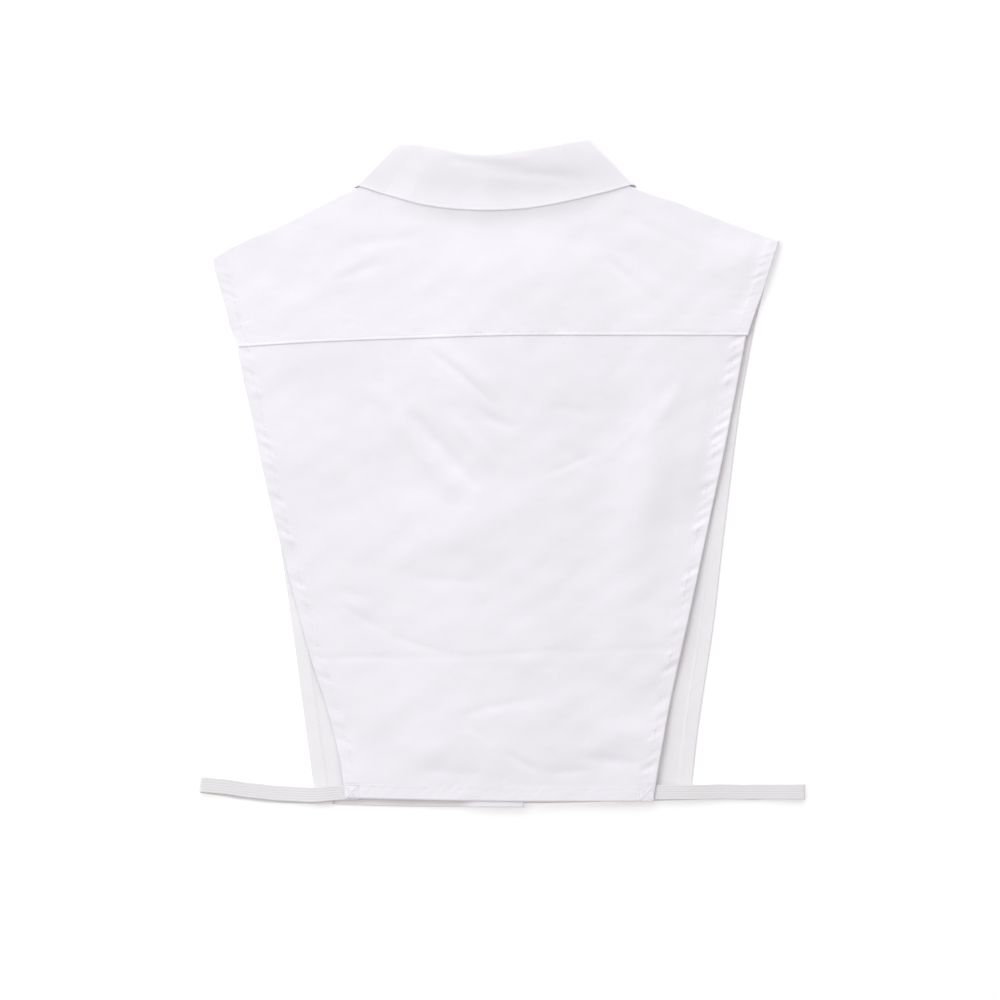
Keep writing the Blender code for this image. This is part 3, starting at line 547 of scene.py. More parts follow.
@dataclass(frozen=True)
class Lay:
    """How the garment's layers lie on each other, as heights over the floor.

    The back and the yoke share one relief, so that they never cross where they lap: the folds, the uneven
    drape, the pressed crease, the puckers of the seam between them, and sides that sink to the fronts.
    """

    back_level: float = 4.8
    crown_rise: float = 3.6
    crown_half_width: float = 55.0
    crown_power: float = 2.5
    crown_ends_at: tuple[float, float] = (130.0, 196.0)
    side_drops: tuple[float, float] = (2.1, -0.3)
    side_drop_reaches: tuple[float, float] = (34.0, 30.0)
    corner_lift: float = 1.2
    corner_reach: float = 26.0
    hem_corners: tuple[Point, Point] = (Point(-111.8, -230.0), Point(107.2, -232.2))
    tip_drop: float = 0.8
    tip_reach: float = 60.0
    shoulder_tips: tuple[Point, Point] = (Point(-205.6, 153.0), Point(196.3, 165.4))
    pressed_depth: float = 0.50
    seam_pucker: float = 0.20
    drape: tuple[Ripples, ...] = (
        Ripples(11, 120.0, 45.0, 0.42),
        Ripples(12, 44.0, 18.0, 0.115, 24, 1.75, 0.9),
        Ripples(13, 16.0, 5.0, 0.036, 40, 1.65, 0.9),
    )
    yoke_lap: float = 0.5
    neck_rise: float = 2.6
    neck_rise_half_width: float = 84.0
    neck_rise_reach: float = 13.0
    button_ridge: float = 2.3
    button_ridge_half_widths: tuple[float, float] = (20.0, 78.0)
    lap_rise: float = 1.9
    lap_starts_at: tuple[float, float] = (-32.0, -17.0)
    leaf_clearance: float = 2.0
    leaf_margin: float = 3.0
    leaf_slope: float = 14.0
    middle_x: float = 1.8

    def back(self, x: Array, y: Array) -> Array:
        """Gives the back's height: level, with a crown over the button stand, and the shared relief."""
        crown = np.exp(-((np.abs(x - self.middle_x) / self.crown_half_width) ** self.crown_power))
        crown = crown * (1.0 - ease(y, *self.crown_ends_at)) * (0.65 + 0.35 * ease(y, -232.0, -190.0))
        height = self.back_level + self.crown_rise * crown
        near_corner = np.zeros(np.shape(x))
        for corner in self.hem_corners:
            near = np.hypot(x - corner.x, y - corner.y) / self.corner_reach
            near_corner = near_corner + np.exp(-(near**2))
        height = height + self.corner_lift * near_corner - self.sides_down(x, y) * (1.0 - near_corner)
        for tip in self.shoulder_tips:
            near = np.hypot(x - tip.x, y - tip.y) / self.tip_reach
            height = height - self.tip_drop * np.exp(-(near**2))
        relief = crease_height(Creases.BACK, x, y) + sum(ripple(x, y) for ripple in self.drape)
        return height + relief + self.pressed(x, y) + self.seam_puckers(x, y)

    def sides_down(self, x: Array, y: Array) -> Array:
        """Gives how much the back sinks towards its left edge, and how little its right edge stands off."""
        edges = [np.vstack([smooth(Outline.ARMHOLE[side]), smooth(Outline.BACK_EDGE[side])[10:]]) for side in Side]
        gaps = [np.abs(x - np.interp(y, edge[::-1, 1], edge[::-1, 0])) for edge in edges]
        each = zip(self.side_drops, self.side_drop_reaches, gaps)
        near = sum(drop * (1.0 - ease(gap, 0.0, reach)) for drop, reach, gap in each)
        return near * (1.0 - ease(y, 140, 190))

    def pressed(self, x: Array, y: Array) -> Array:
        """Gives the crease pressed across the back where it was folded in store: a small sharp valley."""
        line = np.interp(x, (-136.0, -44.4, 19.5, 115.4), (-131.0, -129.9, -127.1, -123.9))
        off = y - line - Ripples(31, 90.0, 40.0, 0.6, 5)(x, 0 * x)
        strength = 0.75 + 0.25 * np.sin(x / 17.0 + 1.0)
        return -self.pressed_depth * strength * (np.exp(-np.abs(off) / 1.6) - 0.4 * np.exp(-((off / 9.0) ** 2)))

    def seam_puckers(self, x: Array, y: Array) -> Array:
        """Gives the small puckers of the yoke's seam, strongest right of its middle."""
        seam = smooth(Outline.YOKE_SEAM)
        off = y - np.interp(x, seam[:, 0], seam[:, 1]) - 2.8
        strength = 0.35 + np.exp(-(((x - 28.0) / 46.0) ** 2)) + 0.6 * ease(np.abs(x), 140.0, 170.0)
        reach = np.where(off > 0, 11.0, 5.0)
        waves = Ripples(51, 9.0, 4.5, 1.0, 9)(x + 0.5 * off, 0.2 * off)
        return self.seam_pucker * strength * np.exp(-((off / reach) ** 2)) * waves

    def yoke(self, x: Array, y: Array) -> Array:
        """Gives the yoke's height: it laps over the back panel's top edge and rises to the neck seam."""
        leaf_edge = smooth(Outline.BACK_COLLAR)[:, 4:]
        gap = np.interp(x, leaf_edge[:, 0], leaf_edge[:, 1]) - y
        middle = np.clip(1.0 - (x / self.neck_rise_half_width) ** 2, 0.0, 1.0)
        rise = np.clip(1.0 - np.maximum(gap, 0.0) / self.neck_rise_reach, 0.0, 1.0) ** 2
        return self.back(x, y) + self.yoke_lap + self.neck_rise * middle * rise

    def front(self, x: Array, y: Array, side: Side) -> Array:
        """Gives the height of a front's lower face over the collar's points, the buttons and the lap."""
        left, right = (Outline.FRONT_COLLAR[one] for one in (Side.LEFT, Side.RIGHT))
        edge = np.array([(s.edge_x, s.edge_y) for s in left + right[::-1]])
        away, _ = beside(x, y, edge)
        away = np.where(y > np.interp(x, edge[:, 0], edge[:, 1]), 0.0, away)
        over_leaf = self.leaf_clearance * (
            1.0 - ease(away, self.leaf_margin, self.leaf_margin + self.leaf_slope)
        )
        over_buttons = self.button_ridge * (1.0 - ease(np.abs(x - self.middle_x), *self.button_ridge_half_widths))
        height = np.maximum(over_leaf, over_buttons)
        if side is Side.LEFT:
            height = height + (self.lap_rise + 0.6 * ease(-y, 212.0, 234.0)) * ease(x, *self.lap_starts_at)
        return height


@dataclass
class ClothGrid:
    """A cloth surface on a grid whose rows run up and whose columns run right, its outer face up.

    Attributes:
        points: The outer face's points.
        weave: The threads' coordinates at each point, across and up.
        seam: The distance from the nearest stitch line, and the place along it.
        hem: 1 where the edge is turned, 0 elsewhere.
        keep: Marks the cells that are cloth, or None where all are.
    """

    points: Array
    weave: Array
    seam: Array
    hem: Array
    keep: NDArray[np.bool_] | None = None


def hem_coordinates(x: Array, y: Array, hems: Sequence[Hem]) -> tuple[Array, Array, Array, Array, Array]:
    """Finds each point's nearest stitch line.

    Args:
        x: The points' X.
        y: The points' Y.
        hems: The panel's turned edges.

    Returns:
        The signed distance from the stitches, the place along them, the hem's share, and its pucker's height
        and slant.
    """
    turned = np.zeros(np.shape(x))
    aside, at = np.full(np.shape(x), 1e3), np.zeros(np.shape(x))
    pucker, slant = np.zeros(np.shape(x)), np.zeros(np.shape(x))
    for hem in hems:
        away, place = beside(x, y, hem.path)
        turned = np.maximum(turned, 1.0 - ease(away, hem.width - 0.5, hem.width + 0.3))
        nearer = np.abs(away - hem.stitch) < np.abs(aside)
        aside = np.where(nearer, away - hem.stitch, aside)
        at = np.where(nearer, place, at)
        held = ease(reach_of(hem.path)[-1] - place, 4.0, 26.0)
        pucker = np.where(nearer, hem.pucker * held, pucker)
        slant = np.where(nearer, hem.slant, slant)
    return aside, at, turned, pucker, slant


def pucker_height(aside: Array, at: Array, height: Array, slant: Array, seed: int) -> Array:
    """Adds the puckers that stitching draws up: slanted uneven waves that fade away from the stitches."""
    waves = Ripples(seed, 9.5, 4.6, 1.0, 9)(at + slant * aside, 0.12 * aside)
    reach = np.where(aside > 0, 2.8, 6.5)
    height = height * (0.42 + 0.58 * np.exp(-(((at - 75.0) / 75.0) ** 2)))
    return height * np.exp(-((aside / reach) ** 2)) * waves * np.abs(waves) ** 0.4


def edge_roll(from_edge: Array, bulge: float, drop: float) -> Array:
    """Gives a folded edge's shape: a soft ridge a little inside it, and a rounded fall at the edge itself."""
    ridge = bulge * np.exp(-(((from_edge - 1.0) / 1.1) ** 2))
    return ridge - drop * (1.0 - np.sqrt(np.clip(from_edge / 0.7, 0.0, 1.0)))


class Maker:
    """Puts finished meshes into the scene and tells the frame about them."""

    def __init__(self, finishes: dict[str, bpy.types.Material]) -> None:
        """Keeps the finishes by their slot names."""
        self.finishes = finishes

    def put(
        self, name: str, points: Array, faces: list[list[int]], slot: str, finish: str = ""
    ) -> bpy.types.Object:
        """Makes an object from points in millimetres.

        Args:
            name: The piece's name.
            points: One row for each point.
            faces: The corners of each face.
            slot: The material slot it takes its finish from.
            finish: The finish, where it isn't the slot's own.

        Returns:
            The new object, riding on the garment.
        """
        mesh = bpy.data.meshes.new(name)
        mesh.from_pydata((points * MM).tolist(), [], faces)
        mesh.shade_smooth()
        mesh.materials.append(self.finishes[finish or slot])
        piece = bpy.data.objects.new(name, mesh)
        bpy.context.scene.collection.objects.link(piece)
        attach(piece, "root")
        return piece

    def cloth(
        self, name: str, grid: ClothGrid, wall: Cloth, turned: Cloth, slot: str, finish: str = ""
    ) -> bpy.types.Object:
        """Makes a cloth shell from a grid, thicker where an edge is turned.

        Args:
            name: The piece's name.
            grid: Its outer face.
            wall: Its thickness.
            turned: Its thickness where an edge is turned.
            slot: The material slot it takes its finish from.
            finish: The finish, where it isn't the slot's own.

        Returns:
            The new object, with its wall as a live modifier.
        """
        rows, columns = grid.points.shape[:2]
        index = np.arange(rows * columns).reshape(rows, columns)
        cells = np.stack([index[:-1, :-1], index[:-1, 1:], index[1:, 1:], index[1:, :-1]], axis=-1)
        cells = cells[grid.keep] if grid.keep is not None else cells.reshape(-1, 4)
        used, cells = np.unique(cells, return_inverse=True)
        cells = cells.reshape(-1, 4)
        piece = self.put(name, grid.points.reshape(-1, 3)[used], cells.tolist(), slot, finish)
        for layer, values in (("Weave", grid.weave), ("Seam", grid.seam)):
            corners = values.reshape(-1, 2)[used][cells.ravel()]
            piece.data.uv_layers.new(name=layer).data.foreach_set("uv", corners.astype(np.float32).ravel())
        hem = grid.hem.reshape(-1)[used]
        piece.data.attributes.new("hem", "FLOAT", "POINT").data.foreach_set("value", hem.astype(np.float32))
        shell = piece.modifiers.new("Cloth wall", "SOLIDIFY")
        shell.offset = -1.0
        shell.use_even_offset = True
        shell.thickness = turned.value * MM
        shell.thickness_vertex_group = wall.value / turned.value
        group = piece.vertex_groups.new(name="Turned edge")
        for level in np.unique(np.round(hem, 1)):
            group.add(np.flatnonzero(np.round(hem, 1) == level).tolist(), float(level), "REPLACE")
        shell.vertex_group = group.name
        return piece

    def stitches(self, name: str, rows: Sequence["StitchRow"], slot: str) -> bpy.types.Object:
        """Joins rows of stitches into one mesh.

        Args:
            name: The piece's name.
            rows: The rows of stitches.
            slot: The material slot of the thread.

        Returns:
            The new object.
        """
        points, faces, start = [], [], 0
        for row in rows:
            row_points, row_faces = row.mesh()
            points.append(row_points)
            faces.append(row_faces + start)
            start += len(row_points)
        return self.put(name, np.vstack(points), np.vstack(faces).tolist(), slot)


@dataclass(frozen=True)
class StitchRow:
    """A row of lockstitches: each a small thread that dips at both ends.

    Attributes:
        path: The points it follows on the cloth.
        pitch: The distance from stitch to stitch.
        length: The length of one stitch.
        radius: Half its thickness.
        side: 1 where it shows above the cloth, -1 below.
    """

    path: Array
    pitch: float = 2.95
    length: float = 2.35
    radius: float = 0.17
    side: float = 1.0

    RINGS = np.array([(-0.5, 0.35, -0.9), (-0.34, 0.95, -0.1), (0.0, 1.0, 0.35), (0.34, 0.95, -0.1), (0.5, 0.35, -0.9)])
    SIDES = 6

    def mesh(self) -> tuple[Array, NDArray[np.int64]]:
        """Gives the row's points and four-cornered faces: a ring carried along each stitch."""
        reach = reach_of(self.path)
        count = max(1, int(reach[-1] / self.pitch))
        centre = (np.arange(count) + 0.5) * self.pitch
        place, behind, ahead = (
            np.stack([np.interp(at, reach, column) for column in self.path.T], axis=-1)
            for at in (centre, centre - 0.5, centre + 0.5)
        )
        forward = unit(ahead - behind)
        across = unit(np.cross((0.0, 0.0, 1.0), forward))
        up = np.cross(forward, across)
        turn = np.arange(self.SIDES) / self.SIDES * 2 * np.pi
        at, size, dip = self.RINGS.T
        lift = self.side * self.radius * dip
        points = (
            place[:, None, None]
            + (at * self.length)[None, :, None, None] * forward[:, None, None]
            + (size[:, None] * np.cos(turn))[None, ..., None] * self.radius * across[:, None, None]
            + ((size[:, None] * np.sin(turn)) * self.radius + lift[:, None])[None, ..., None] * up[:, None, None]
        )
        rings = len(self.RINGS)
        index = np.arange(rings * self.SIDES).reshape(rings, self.SIDES)
        following = np.roll(index, -1, axis=1)
        sides = np.stack([index[:-1], following[:-1], following[1:], index[1:]], axis=-1).reshape(-1, 4)
        ends = [(index[0, 3], index[0, 2], index[0, 1], index[0, 0]), (index[0, 5], index[0, 4], index[0, 3], index[0, 0])]
        ends += [(index[-1, 0], index[-1, 1], index[-1, 2], index[-1, 3]), (index[-1, 0], index[-1, 3], index[-1, 4], index[-1, 5])]
        one = np.vstack([sides, ends])
        faces = one[None] + (np.arange(count) * rings * self.SIDES)[:, None, None]
        return points.reshape(-1, 3), faces.reshape(-1, 4)


def on_face(path: Array, height: Height, above: float = 0.05) -> Array:
    """Lays a plan path on a surface, a little above it."""
    return np.column_stack([path, height(path[:, 0], path[:, 1]) + above])


@dataclass
class BackPanel:
    """The lower back: from under the yoke's seam to the hem, hemmed at its sides and bottom."""

    lay: Lay
    side_hem: float = 8.0
    bottom_hem: float = 10.0
    top_lap: float = 8.0
    cells_across: tuple[int, int, int] = (12, 160, 12)
    cells_down: tuple[int, int, int] = (6, 150, 14)
    flat: tuple[float, float] = (0.360, 0.346)
    area: float = 0.098
    boxes: tuple[Point, Point] = (Point(-107.0, -225.6), Point(101.6, -226.6))
    box_half: float = 5.0
    box_dip: float = 0.34
    hems: list[Hem] = field(default_factory=list)

    def __post_init__(self) -> None:
        """Works out the hems from the outline."""
        left, right = (smooth(Outline.BACK_EDGE[side])[6:] for side in (Side.LEFT, Side.RIGHT))
        self.hems = [
            Hem(left, self.side_hem, self.side_hem - 0.8, 0.62),
            Hem(right, self.side_hem, self.side_hem - 0.8, 0.95, -0.8),
            Hem(smooth(Outline.BACK_HEM), self.bottom_hem, self.bottom_hem - 0.9, 0.12),
        ]

    def height(self, x: Array, y: Array) -> Array:
        """Gives the height of the outer face, with its turned edges and their puckers."""
        aside, at, turned, pucker, slant = hem_coordinates(x, y, self.hems)
        away = np.min([beside(x, y, hem.path)[0] for hem in self.hems], axis=0)
        raised = 0.12 * (1.0 - ease(away, 3.0, 13.0)) + 0.05 * turned
        height = self.lay.back(x, y) + raised + edge_roll(away, 0.08, 0.3)
        for box in self.boxes:
            gap = np.maximum(np.abs(x - box.x), np.abs(y - box.y)) - self.box_half
            height = height - self.box_dip * np.exp(-((gap / 1.1) ** 2))
        return height + pucker_height(aside, at, pucker, slant, 21) - 0.05 * np.exp(-((aside / 0.7) ** 2))

    def bartack(self, middle: Point) -> StitchRow:
        """Gives the stitched box that holds a strap's end under a corner: round its edge and across."""
        turns = np.array([(-1, -1), (1, -1), (1, 1), (-1, 1), (-1, -1), (1, 1), (1, -1), (-1, 1)])
        path = along(turns * self.box_half + (middle.x, middle.y), np.linspace(0.0, 1.0, 200))
        return StitchRow(on_face(path, self.height, 0.15), 1.6, 1.2, 0.30)

    def build(self, maker: Maker) -> bpy.types.Object:
        seam = smooth(Outline.YOKE_SEAM)
        left, right = smooth(Outline.BACK_EDGE[Side.LEFT]), smooth(Outline.BACK_EDGE[Side.RIGHT])
        top = seam + (0.0, self.top_lap)
        top[0], top[-1] = left[0], right[0]
        length = reach_of(left)[-1]
        down = spread(length, (8.0, 12.0), self.cells_down) / length
        lefts, rights = along(left, down), along(right, down)
        widths = np.linalg.norm(rights - lefts, axis=1)
        across = spread(widths, (11.0, 11.0), self.cells_across) / widths[:, None]
        down = np.repeat(down[:, None], across.shape[1], axis=1)
        bottom = along(smooth(Outline.BACK_HEM), across)
        plan = patch(along(top, across), bottom, lefts[:, None], rights[:, None], across, down)[::-1]
        x, y = plan[..., 0], plan[..., 1]
        aside, at, turned, _, _ = hem_coordinates(x, y, self.hems)
        points = np.dstack([x, y, self.height(x, y)])
        grid = ClothGrid(points, plan, np.dstack([aside, at]), turned)
        # The back takes a darker copy of the cotton: painted shade for the weaker light on the back.
        piece = maker.cloth("back_cloth", grid, Cloth.PLAIN, Cloth.TURNED, "cotton", "shaded_back_cotton")
        rows = [
            StitchRow(on_face(inset(self.hems[0].path, self.hems[0].stitch)[:-8], self.height)),
            StitchRow(on_face(inset(self.hems[1].path, -self.hems[1].stitch)[:-8], self.height)),
            StitchRow(on_face(inset(self.hems[2].path, self.hems[2].stitch)[2:-2], self.height)),
        ]
        rows += [self.bartack(box) for box in self.boxes]
        thread = maker.stitches("back_stitches", rows, "cotton")
        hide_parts("back_panel")
        return piece


@dataclass
class Yoke:
    """The back yoke: a flat top, both shoulder folds, and the flaps in front of them."""

    lay: Lay
    armhole_hem: float = 8.0
    forward_seam: float = 22.0
    topstitch: float = 2.8
    cells_shoulder: tuple[int, int, int] = (12, 44, 2)
    cells_neck: int = 74
    cells_down: tuple[int, int, int] = (4, 50, 16)
    turn_steps: int = 10
    turn_squash: float = 0.5
    flap_steps: int = 10
    flat: tuple[float, float] = (0.402, 0.165)
    area: float = 0.048
    hems: list[Hem] = field(default_factory=list)

    def __post_init__(self) -> None:
        """Works out the hems from the outline."""
        left, right = (smooth(Outline.ARMHOLE[side]) for side in (Side.LEFT, Side.RIGHT))
        self.hems = [
            Hem(left, self.armhole_hem, self.armhole_hem - 0.8, 0.30),
            Hem(right, self.armhole_hem, self.armhole_hem - 0.8, 0.36, -0.8),
            Hem(smooth(Outline.YOKE_SEAM), 0.0, self.topstitch, 0.0),
        ]

    def height(self, x: Array, y: Array) -> Array:
        """Gives the height of the yoke's outer face, with its folded seam edge and its turned armholes."""
        aside, at, turned, pucker, slant = hem_coordinates(x, y, self.hems)
        dip = 0.35 * np.exp(-(((aside - 5.0) / 4.5) ** 2)) * (pucker > 0.15)
        from_seam, _ = beside(x, y, self.hems[2].path)
        height = self.lay.yoke(x, y) + crease_height(Creases.YOKE, x, y)
        height = height + (0.08 + 0.5 * pucker) * turned - dip + edge_roll(from_seam, 0.18, 0.3)
        return height + pucker_height(aside, at, pucker, slant, 52) - 0.07 * np.exp(-((aside / 0.7) ** 2))

    def flap_end(self, shoulder: Array, side: Side) -> Array:
        """Gives where the flap ends: the neckline at one end, square to the fold at the tip."""
        neck = Outline.FRONT_COLLAR[side][1]
        left = side is Side.LEFT
        tip, root = (shoulder[0], shoulder[-1]) if left else (shoulder[-1], shoulder[0])
        run = unit(root - tip)
        square = np.array([run[1], -run[0]]) if left else np.array([-run[1], run[0]])
        tip_end = tip + self.forward_seam * square
        share = np.linalg.norm(shoulder - tip, axis=1) / np.linalg.norm(root - tip)
        return tip_end + share[:, None] * (np.array([neck.seam_x, neck.seam_y]) - tip_end)

    def build(self, maker: Maker) -> bpy.types.Object:
        sides = {}
        for side in Side:
            curve = smooth(Outline.SHOULDER[side])
            length = reach_of(curve)[-1]
            share = spread(length, (11.0, 4.0), self.cells_shoulder) / length
            sides[side] = along(curve, share if side is Side.LEFT else 1 - share[::-1])
        neck_curve = smooth(Outline.BACK_COLLAR)[:, :2]
        neck = at_section(neck_curve, np.linspace(0.55, 7.45, self.cells_neck))
        left, right = sides[Side.LEFT], sides[Side.RIGHT]
        ends = {side: self.flap_end(sides[side], side) for side in Side}
        hinge = np.vstack([left, neck, right])
        inward = np.vstack(
            [unit(ends[Side.LEFT] - left), np.zeros_like(neck), unit(ends[Side.RIGHT] - right)]
        )
        is_shoulder = np.linalg.norm(inward, axis=1) > 0
        top = self.lay.yoke(hinge[:, 0], hinge[:, 1])
        bottom = self.lay.front(hinge[:, 0], hinge[:, 1], Side.RIGHT)
        radius = np.where(is_shoulder, (top - bottom) / 2, 0.0)
        top_plan = hinge + inward * (self.turn_squash * radius)[:, None]

        seam_curve = smooth(Outline.YOKE_SEAM)
        share = (top_plan[:, 0] - top_plan[0, 0]) / (top_plan[-1, 0] - top_plan[0, 0])
        down = spread(100.0, (4.0, 8.0), self.cells_down) / 100.0
        edges = {
            side: np.vstack([top_plan[0 if side is Side.LEFT else -1], smooth(Outline.ARMHOLE[side])[6:]])
            for side in Side
        }
        across = np.repeat(share[None, :], len(down), axis=0)
        down_grid = np.repeat(down[:, None], len(share), axis=1)
        flat = patch(
            top_plan[None],
            along(seam_curve, share)[None],
            along(edges[Side.LEFT], down)[:, None],
            along(edges[Side.RIGHT], down)[:, None],
            across,
            down_grid,
        )
        flat[0] = top_plan
        x, y = flat[..., 0], flat[..., 1]
        flat_top = np.dstack([x, y, self.height(x, y)])
        top = flat_top[0, :, 2]
        radius = np.where(is_shoulder, (top - bottom) / 2, 0.0)

        angles = np.radians(np.linspace(90, -90, self.turn_steps + 1)[1:])[:, None]
        fold_plan = hinge + inward * (self.turn_squash * radius * (1 - np.cos(angles)))[..., None]
        fold_z = (top + bottom) / 2 + radius * np.sin(angles)
        fold = np.concatenate([fold_plan, fold_z[..., None]], axis=-1)
        flap_ends = hinge.copy()
        flap_ends[: len(left)], flap_ends[-len(right) :] = ends[Side.LEFT], ends[Side.RIGHT]
        shares = (np.arange(1, self.flap_steps + 1) / self.flap_steps)[:, None, None]
        flap_plan = fold[-1, :, :2] + shares * (flap_ends - fold[-1, :, :2])
        flap_z = self.lay.front(flap_plan[..., 0], flap_plan[..., 1], Side.RIGHT)
        flap = np.concatenate([flap_plan, flap_z[..., None]], axis=-1)

        points = np.concatenate([flat_top[::-1], fold, flap])
        aside, at, turned, _, _ = hem_coordinates(x, y, self.hems)
        below = len(fold) + len(flap)
        turned = turned * ease(beside(x, y, seam_curve)[0], 5.0, 9.0)
        spreading = [np.concatenate([part[::-1], np.repeat(part[:1], below, axis=0)]) for part in (aside, at, turned)]
        steps = np.linalg.norm(np.diff(points[len(flat_top) - 1 :], axis=0), axis=-1).cumsum(axis=0)
        weave_y = np.concatenate([y[::-1], y[0] + steps])
        weave_x = np.concatenate([x[::-1], np.repeat(x[:1], below, axis=0)])
        keep = np.ones((points.shape[0] - 1, points.shape[1] - 1), dtype=bool)
        keep[len(down) - 1 :, len(left) - 1 : len(left) + len(neck)] = False
        grid = ClothGrid(
            points, np.dstack([weave_x, weave_y]), np.dstack(spreading[:2]), spreading[2], keep
        )
        piece = maker.cloth("yoke_cloth", grid, Cloth.PLAIN, Cloth.TURNED, "cotton")
        rows = [
            StitchRow(on_face(inset(self.hems[0].path, self.hems[0].stitch)[6:], self.height)),
            StitchRow(on_face(inset(self.hems[1].path, -self.hems[1].stitch)[6:], self.height)),
            StitchRow(on_face(inset(self.hems[2].path, self.topstitch), self.height)),
        ]
        thread = maker.stitches("yoke_stitches", rows, "cotton")
        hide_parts("back_yoke")
        return piece


@dataclass
class Front:
    """One front, inside face up: turned edges at its side, its centre and its hem."""

    lay: Lay
    side: Side
    side_hem: float = 10.0
    bottom_hem: float = 10.0
    button_stand: float = 27.0
    seam_gap: float = 0.3
    cells_across: tuple[int, int] = (16, 96)
    cells_down: tuple[int, int, int] = (4, 150, 14)
    flat: tuple[float, float] = (0.262, 0.440)
    area: float = 0.078
    hems: list[Hem] = field(default_factory=list)
    drape: tuple[Ripples, ...] = (
        Ripples(61, 100.0, 35.0, 0.16),
        Ripples(62, 35.0, 12.0, 0.05, 24),
    )

    def __post_init__(self) -> None:
        """Works out the edges and hems from the outline."""
        left = self.side is Side.LEFT
        curve = smooth(Outline.SHOULDER[self.side])
        shoulder = along(curve, np.linspace(0, 1, 25))
        seam = Yoke(self.lay).flap_end(shoulder, self.side) - (0.0, self.seam_gap)
        neck = smooth(Outline.FRONT_COLLAR[self.side])[10:, :2]
        lap_end = np.array([[Outline.LAP_END_X[self.side], neck[-1, 1]]])
        self.top = np.vstack([seam, neck[1:], lap_end] if left else [lap_end, neck[1:][::-1], seam])
        self.hem = smooth(Outline.FRONT_HEM[self.side])
        edge = smooth(Outline.FRONT_EDGE[self.side])[3:]
        self.edge = np.vstack([self.top[0] if left else self.top[-1], edge])
        self.middle = np.array([lap_end[0], self.hem[-1] if left else self.hem[0]])
        self.hems = [
            Hem(self.edge, self.side_hem, self.side_hem - 1.2, 0.16),
            Hem(self.middle, self.button_stand, self.button_stand - 1.5, 0.10),
            Hem(self.hem, self.bottom_hem, self.bottom_hem - 1.2, 0.10),
        ]

    def height(self, x: Array, y: Array) -> Array:
        """Gives the height of the lower, outer face, never under the floor."""
        aside, at, _, pucker, slant = hem_coordinates(x, y, self.hems)
        uneven = sum(ripple(x, y) for ripple in self.drape) + 0.15
        uneven = uneven + pucker_height(aside, at, pucker, slant, 71)
        return self.lay.front(x, y, self.side) + np.maximum(uneven, 0.0)

    def build(self, maker: Maker) -> bpy.types.Object:
        left = self.side is Side.LEFT
        edges = (self.edge, self.middle) if left else (self.middle, self.edge)
        length = reach_of(edges[0])[-1]
        down = spread(length, (4.0, 12.0), self.cells_down) / length
        lefts, rights = along(edges[0], down), along(edges[1], down)
        widths = np.linalg.norm(rights - lefts, axis=1)
        zones = (13.0, self.button_stand) if left else (self.button_stand, 13.0)
        across = spread(widths, zones, (self.cells_across[0], self.cells_across[1], self.cells_across[0]))
        across = across / widths[:, None]
        down = np.repeat(down[:, None], across.shape[1], axis=1)
        plan = patch(along(self.top, across), along(self.hem, across), lefts[:, None], rights[:, None], across, down)
        x, y = plan[..., 0], plan[..., 1]
        aside, at, turned, _, _ = hem_coordinates(x, y, self.hems)
        points = np.dstack([x, y, self.height(x, y)])
        grid = ClothGrid(points, plan, np.dstack([aside, at]), turned)
        name = self.side.name.lower()
        # The fronts take a greyer, warmer copy of the cotton: painted warm shade for the fronts lying under the back.
        piece = maker.cloth(f"front_{name}_cloth", grid, Cloth.PLAIN, Cloth.TURNED, "cotton", "front_cotton")

        def inside(at_x: Array, at_y: Array) -> Array:
            """Gives the height of the upper, inner face over a turned edge."""
            return self.height(at_x, at_y) + Cloth.TURNED.value

        turn = 1 if left else -1
        paths = [
            inset(self.hems[0].path, turn * self.hems[0].stitch)[4:-8],
            inset(along(self.middle, np.linspace(0, 1, 60)), -turn * self.hems[1].stitch),
            inset(self.hem, self.hems[2].stitch)[1:-1],
        ]
        rows = [StitchRow(on_face(path, inside)) for path in paths]
        rows += [StitchRow(on_face(path, self.height, 0.12), side=-1.0) for path in paths]
        thread = maker.stitches(f"front_{name}_stitches", rows, "cotton")
        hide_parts(f"front_{name}")
        return piece


@dataclass
class Collar:
    """The collar's shared sizes: where its stand and its leaf run."""

    lay: Lay
    cloth: float = 1.0
    stand_back_inner: float = 5.9
    leaf_back_top: float = 9.7
    leaf_crown: float = 4.5
    leaf_crown_half_width: float = 78.0
    leaf_edge_lift: float = 0.25
    leaf_middle_lift: float = -0.45
    leaf_tuck: float = 5.0
    fold_depth: float = 1.7
    fold_slide: float = 4.0
    edge_slide: float = 2.5
    seam_gap: float = 0.3
    neck_gap: float = 0.8
    stand_turn_inset: float = 2.2
    stand_turn_gap: float = 1.0
    turn_squash: float = 0.62
    stand_turn_inward: tuple[float, float] = (0.80, -0.60)

    def side_turn(self, side: Side) -> tuple[Array, Array, Array, Array]:
        """Gives the fold, the edge, the direction to the edge and the direction inward at a side turn."""
        section = Outline.FRONT_COLLAR[side][0]
        fold, edge = np.array([section.fold_x, section.fold_y]), np.array([section.edge_x, section.edge_y])
        out = unit(edge - fold)
        inward = np.array([-out[1], out[0]]) if side is Side.LEFT else np.array([out[1], -out[0]])
        return fold, edge, out, inward

    def slide(self, distance: Array, width: float) -> Array:
        """Gives how far a point slides along the turn's line in a quarter turn."""
        return self.fold_slide + (self.edge_slide - self.fold_slide) * distance / width

    def sections(self, table: Sequence[CollarSection], stops: Array) -> list[Array]:
        """Gives the seam, fold and edge points at these section numbers."""
        curve = smooth(table)
        return [at_section(curve[:, at : at + 2], stops) for at in (0, 2, 4)]


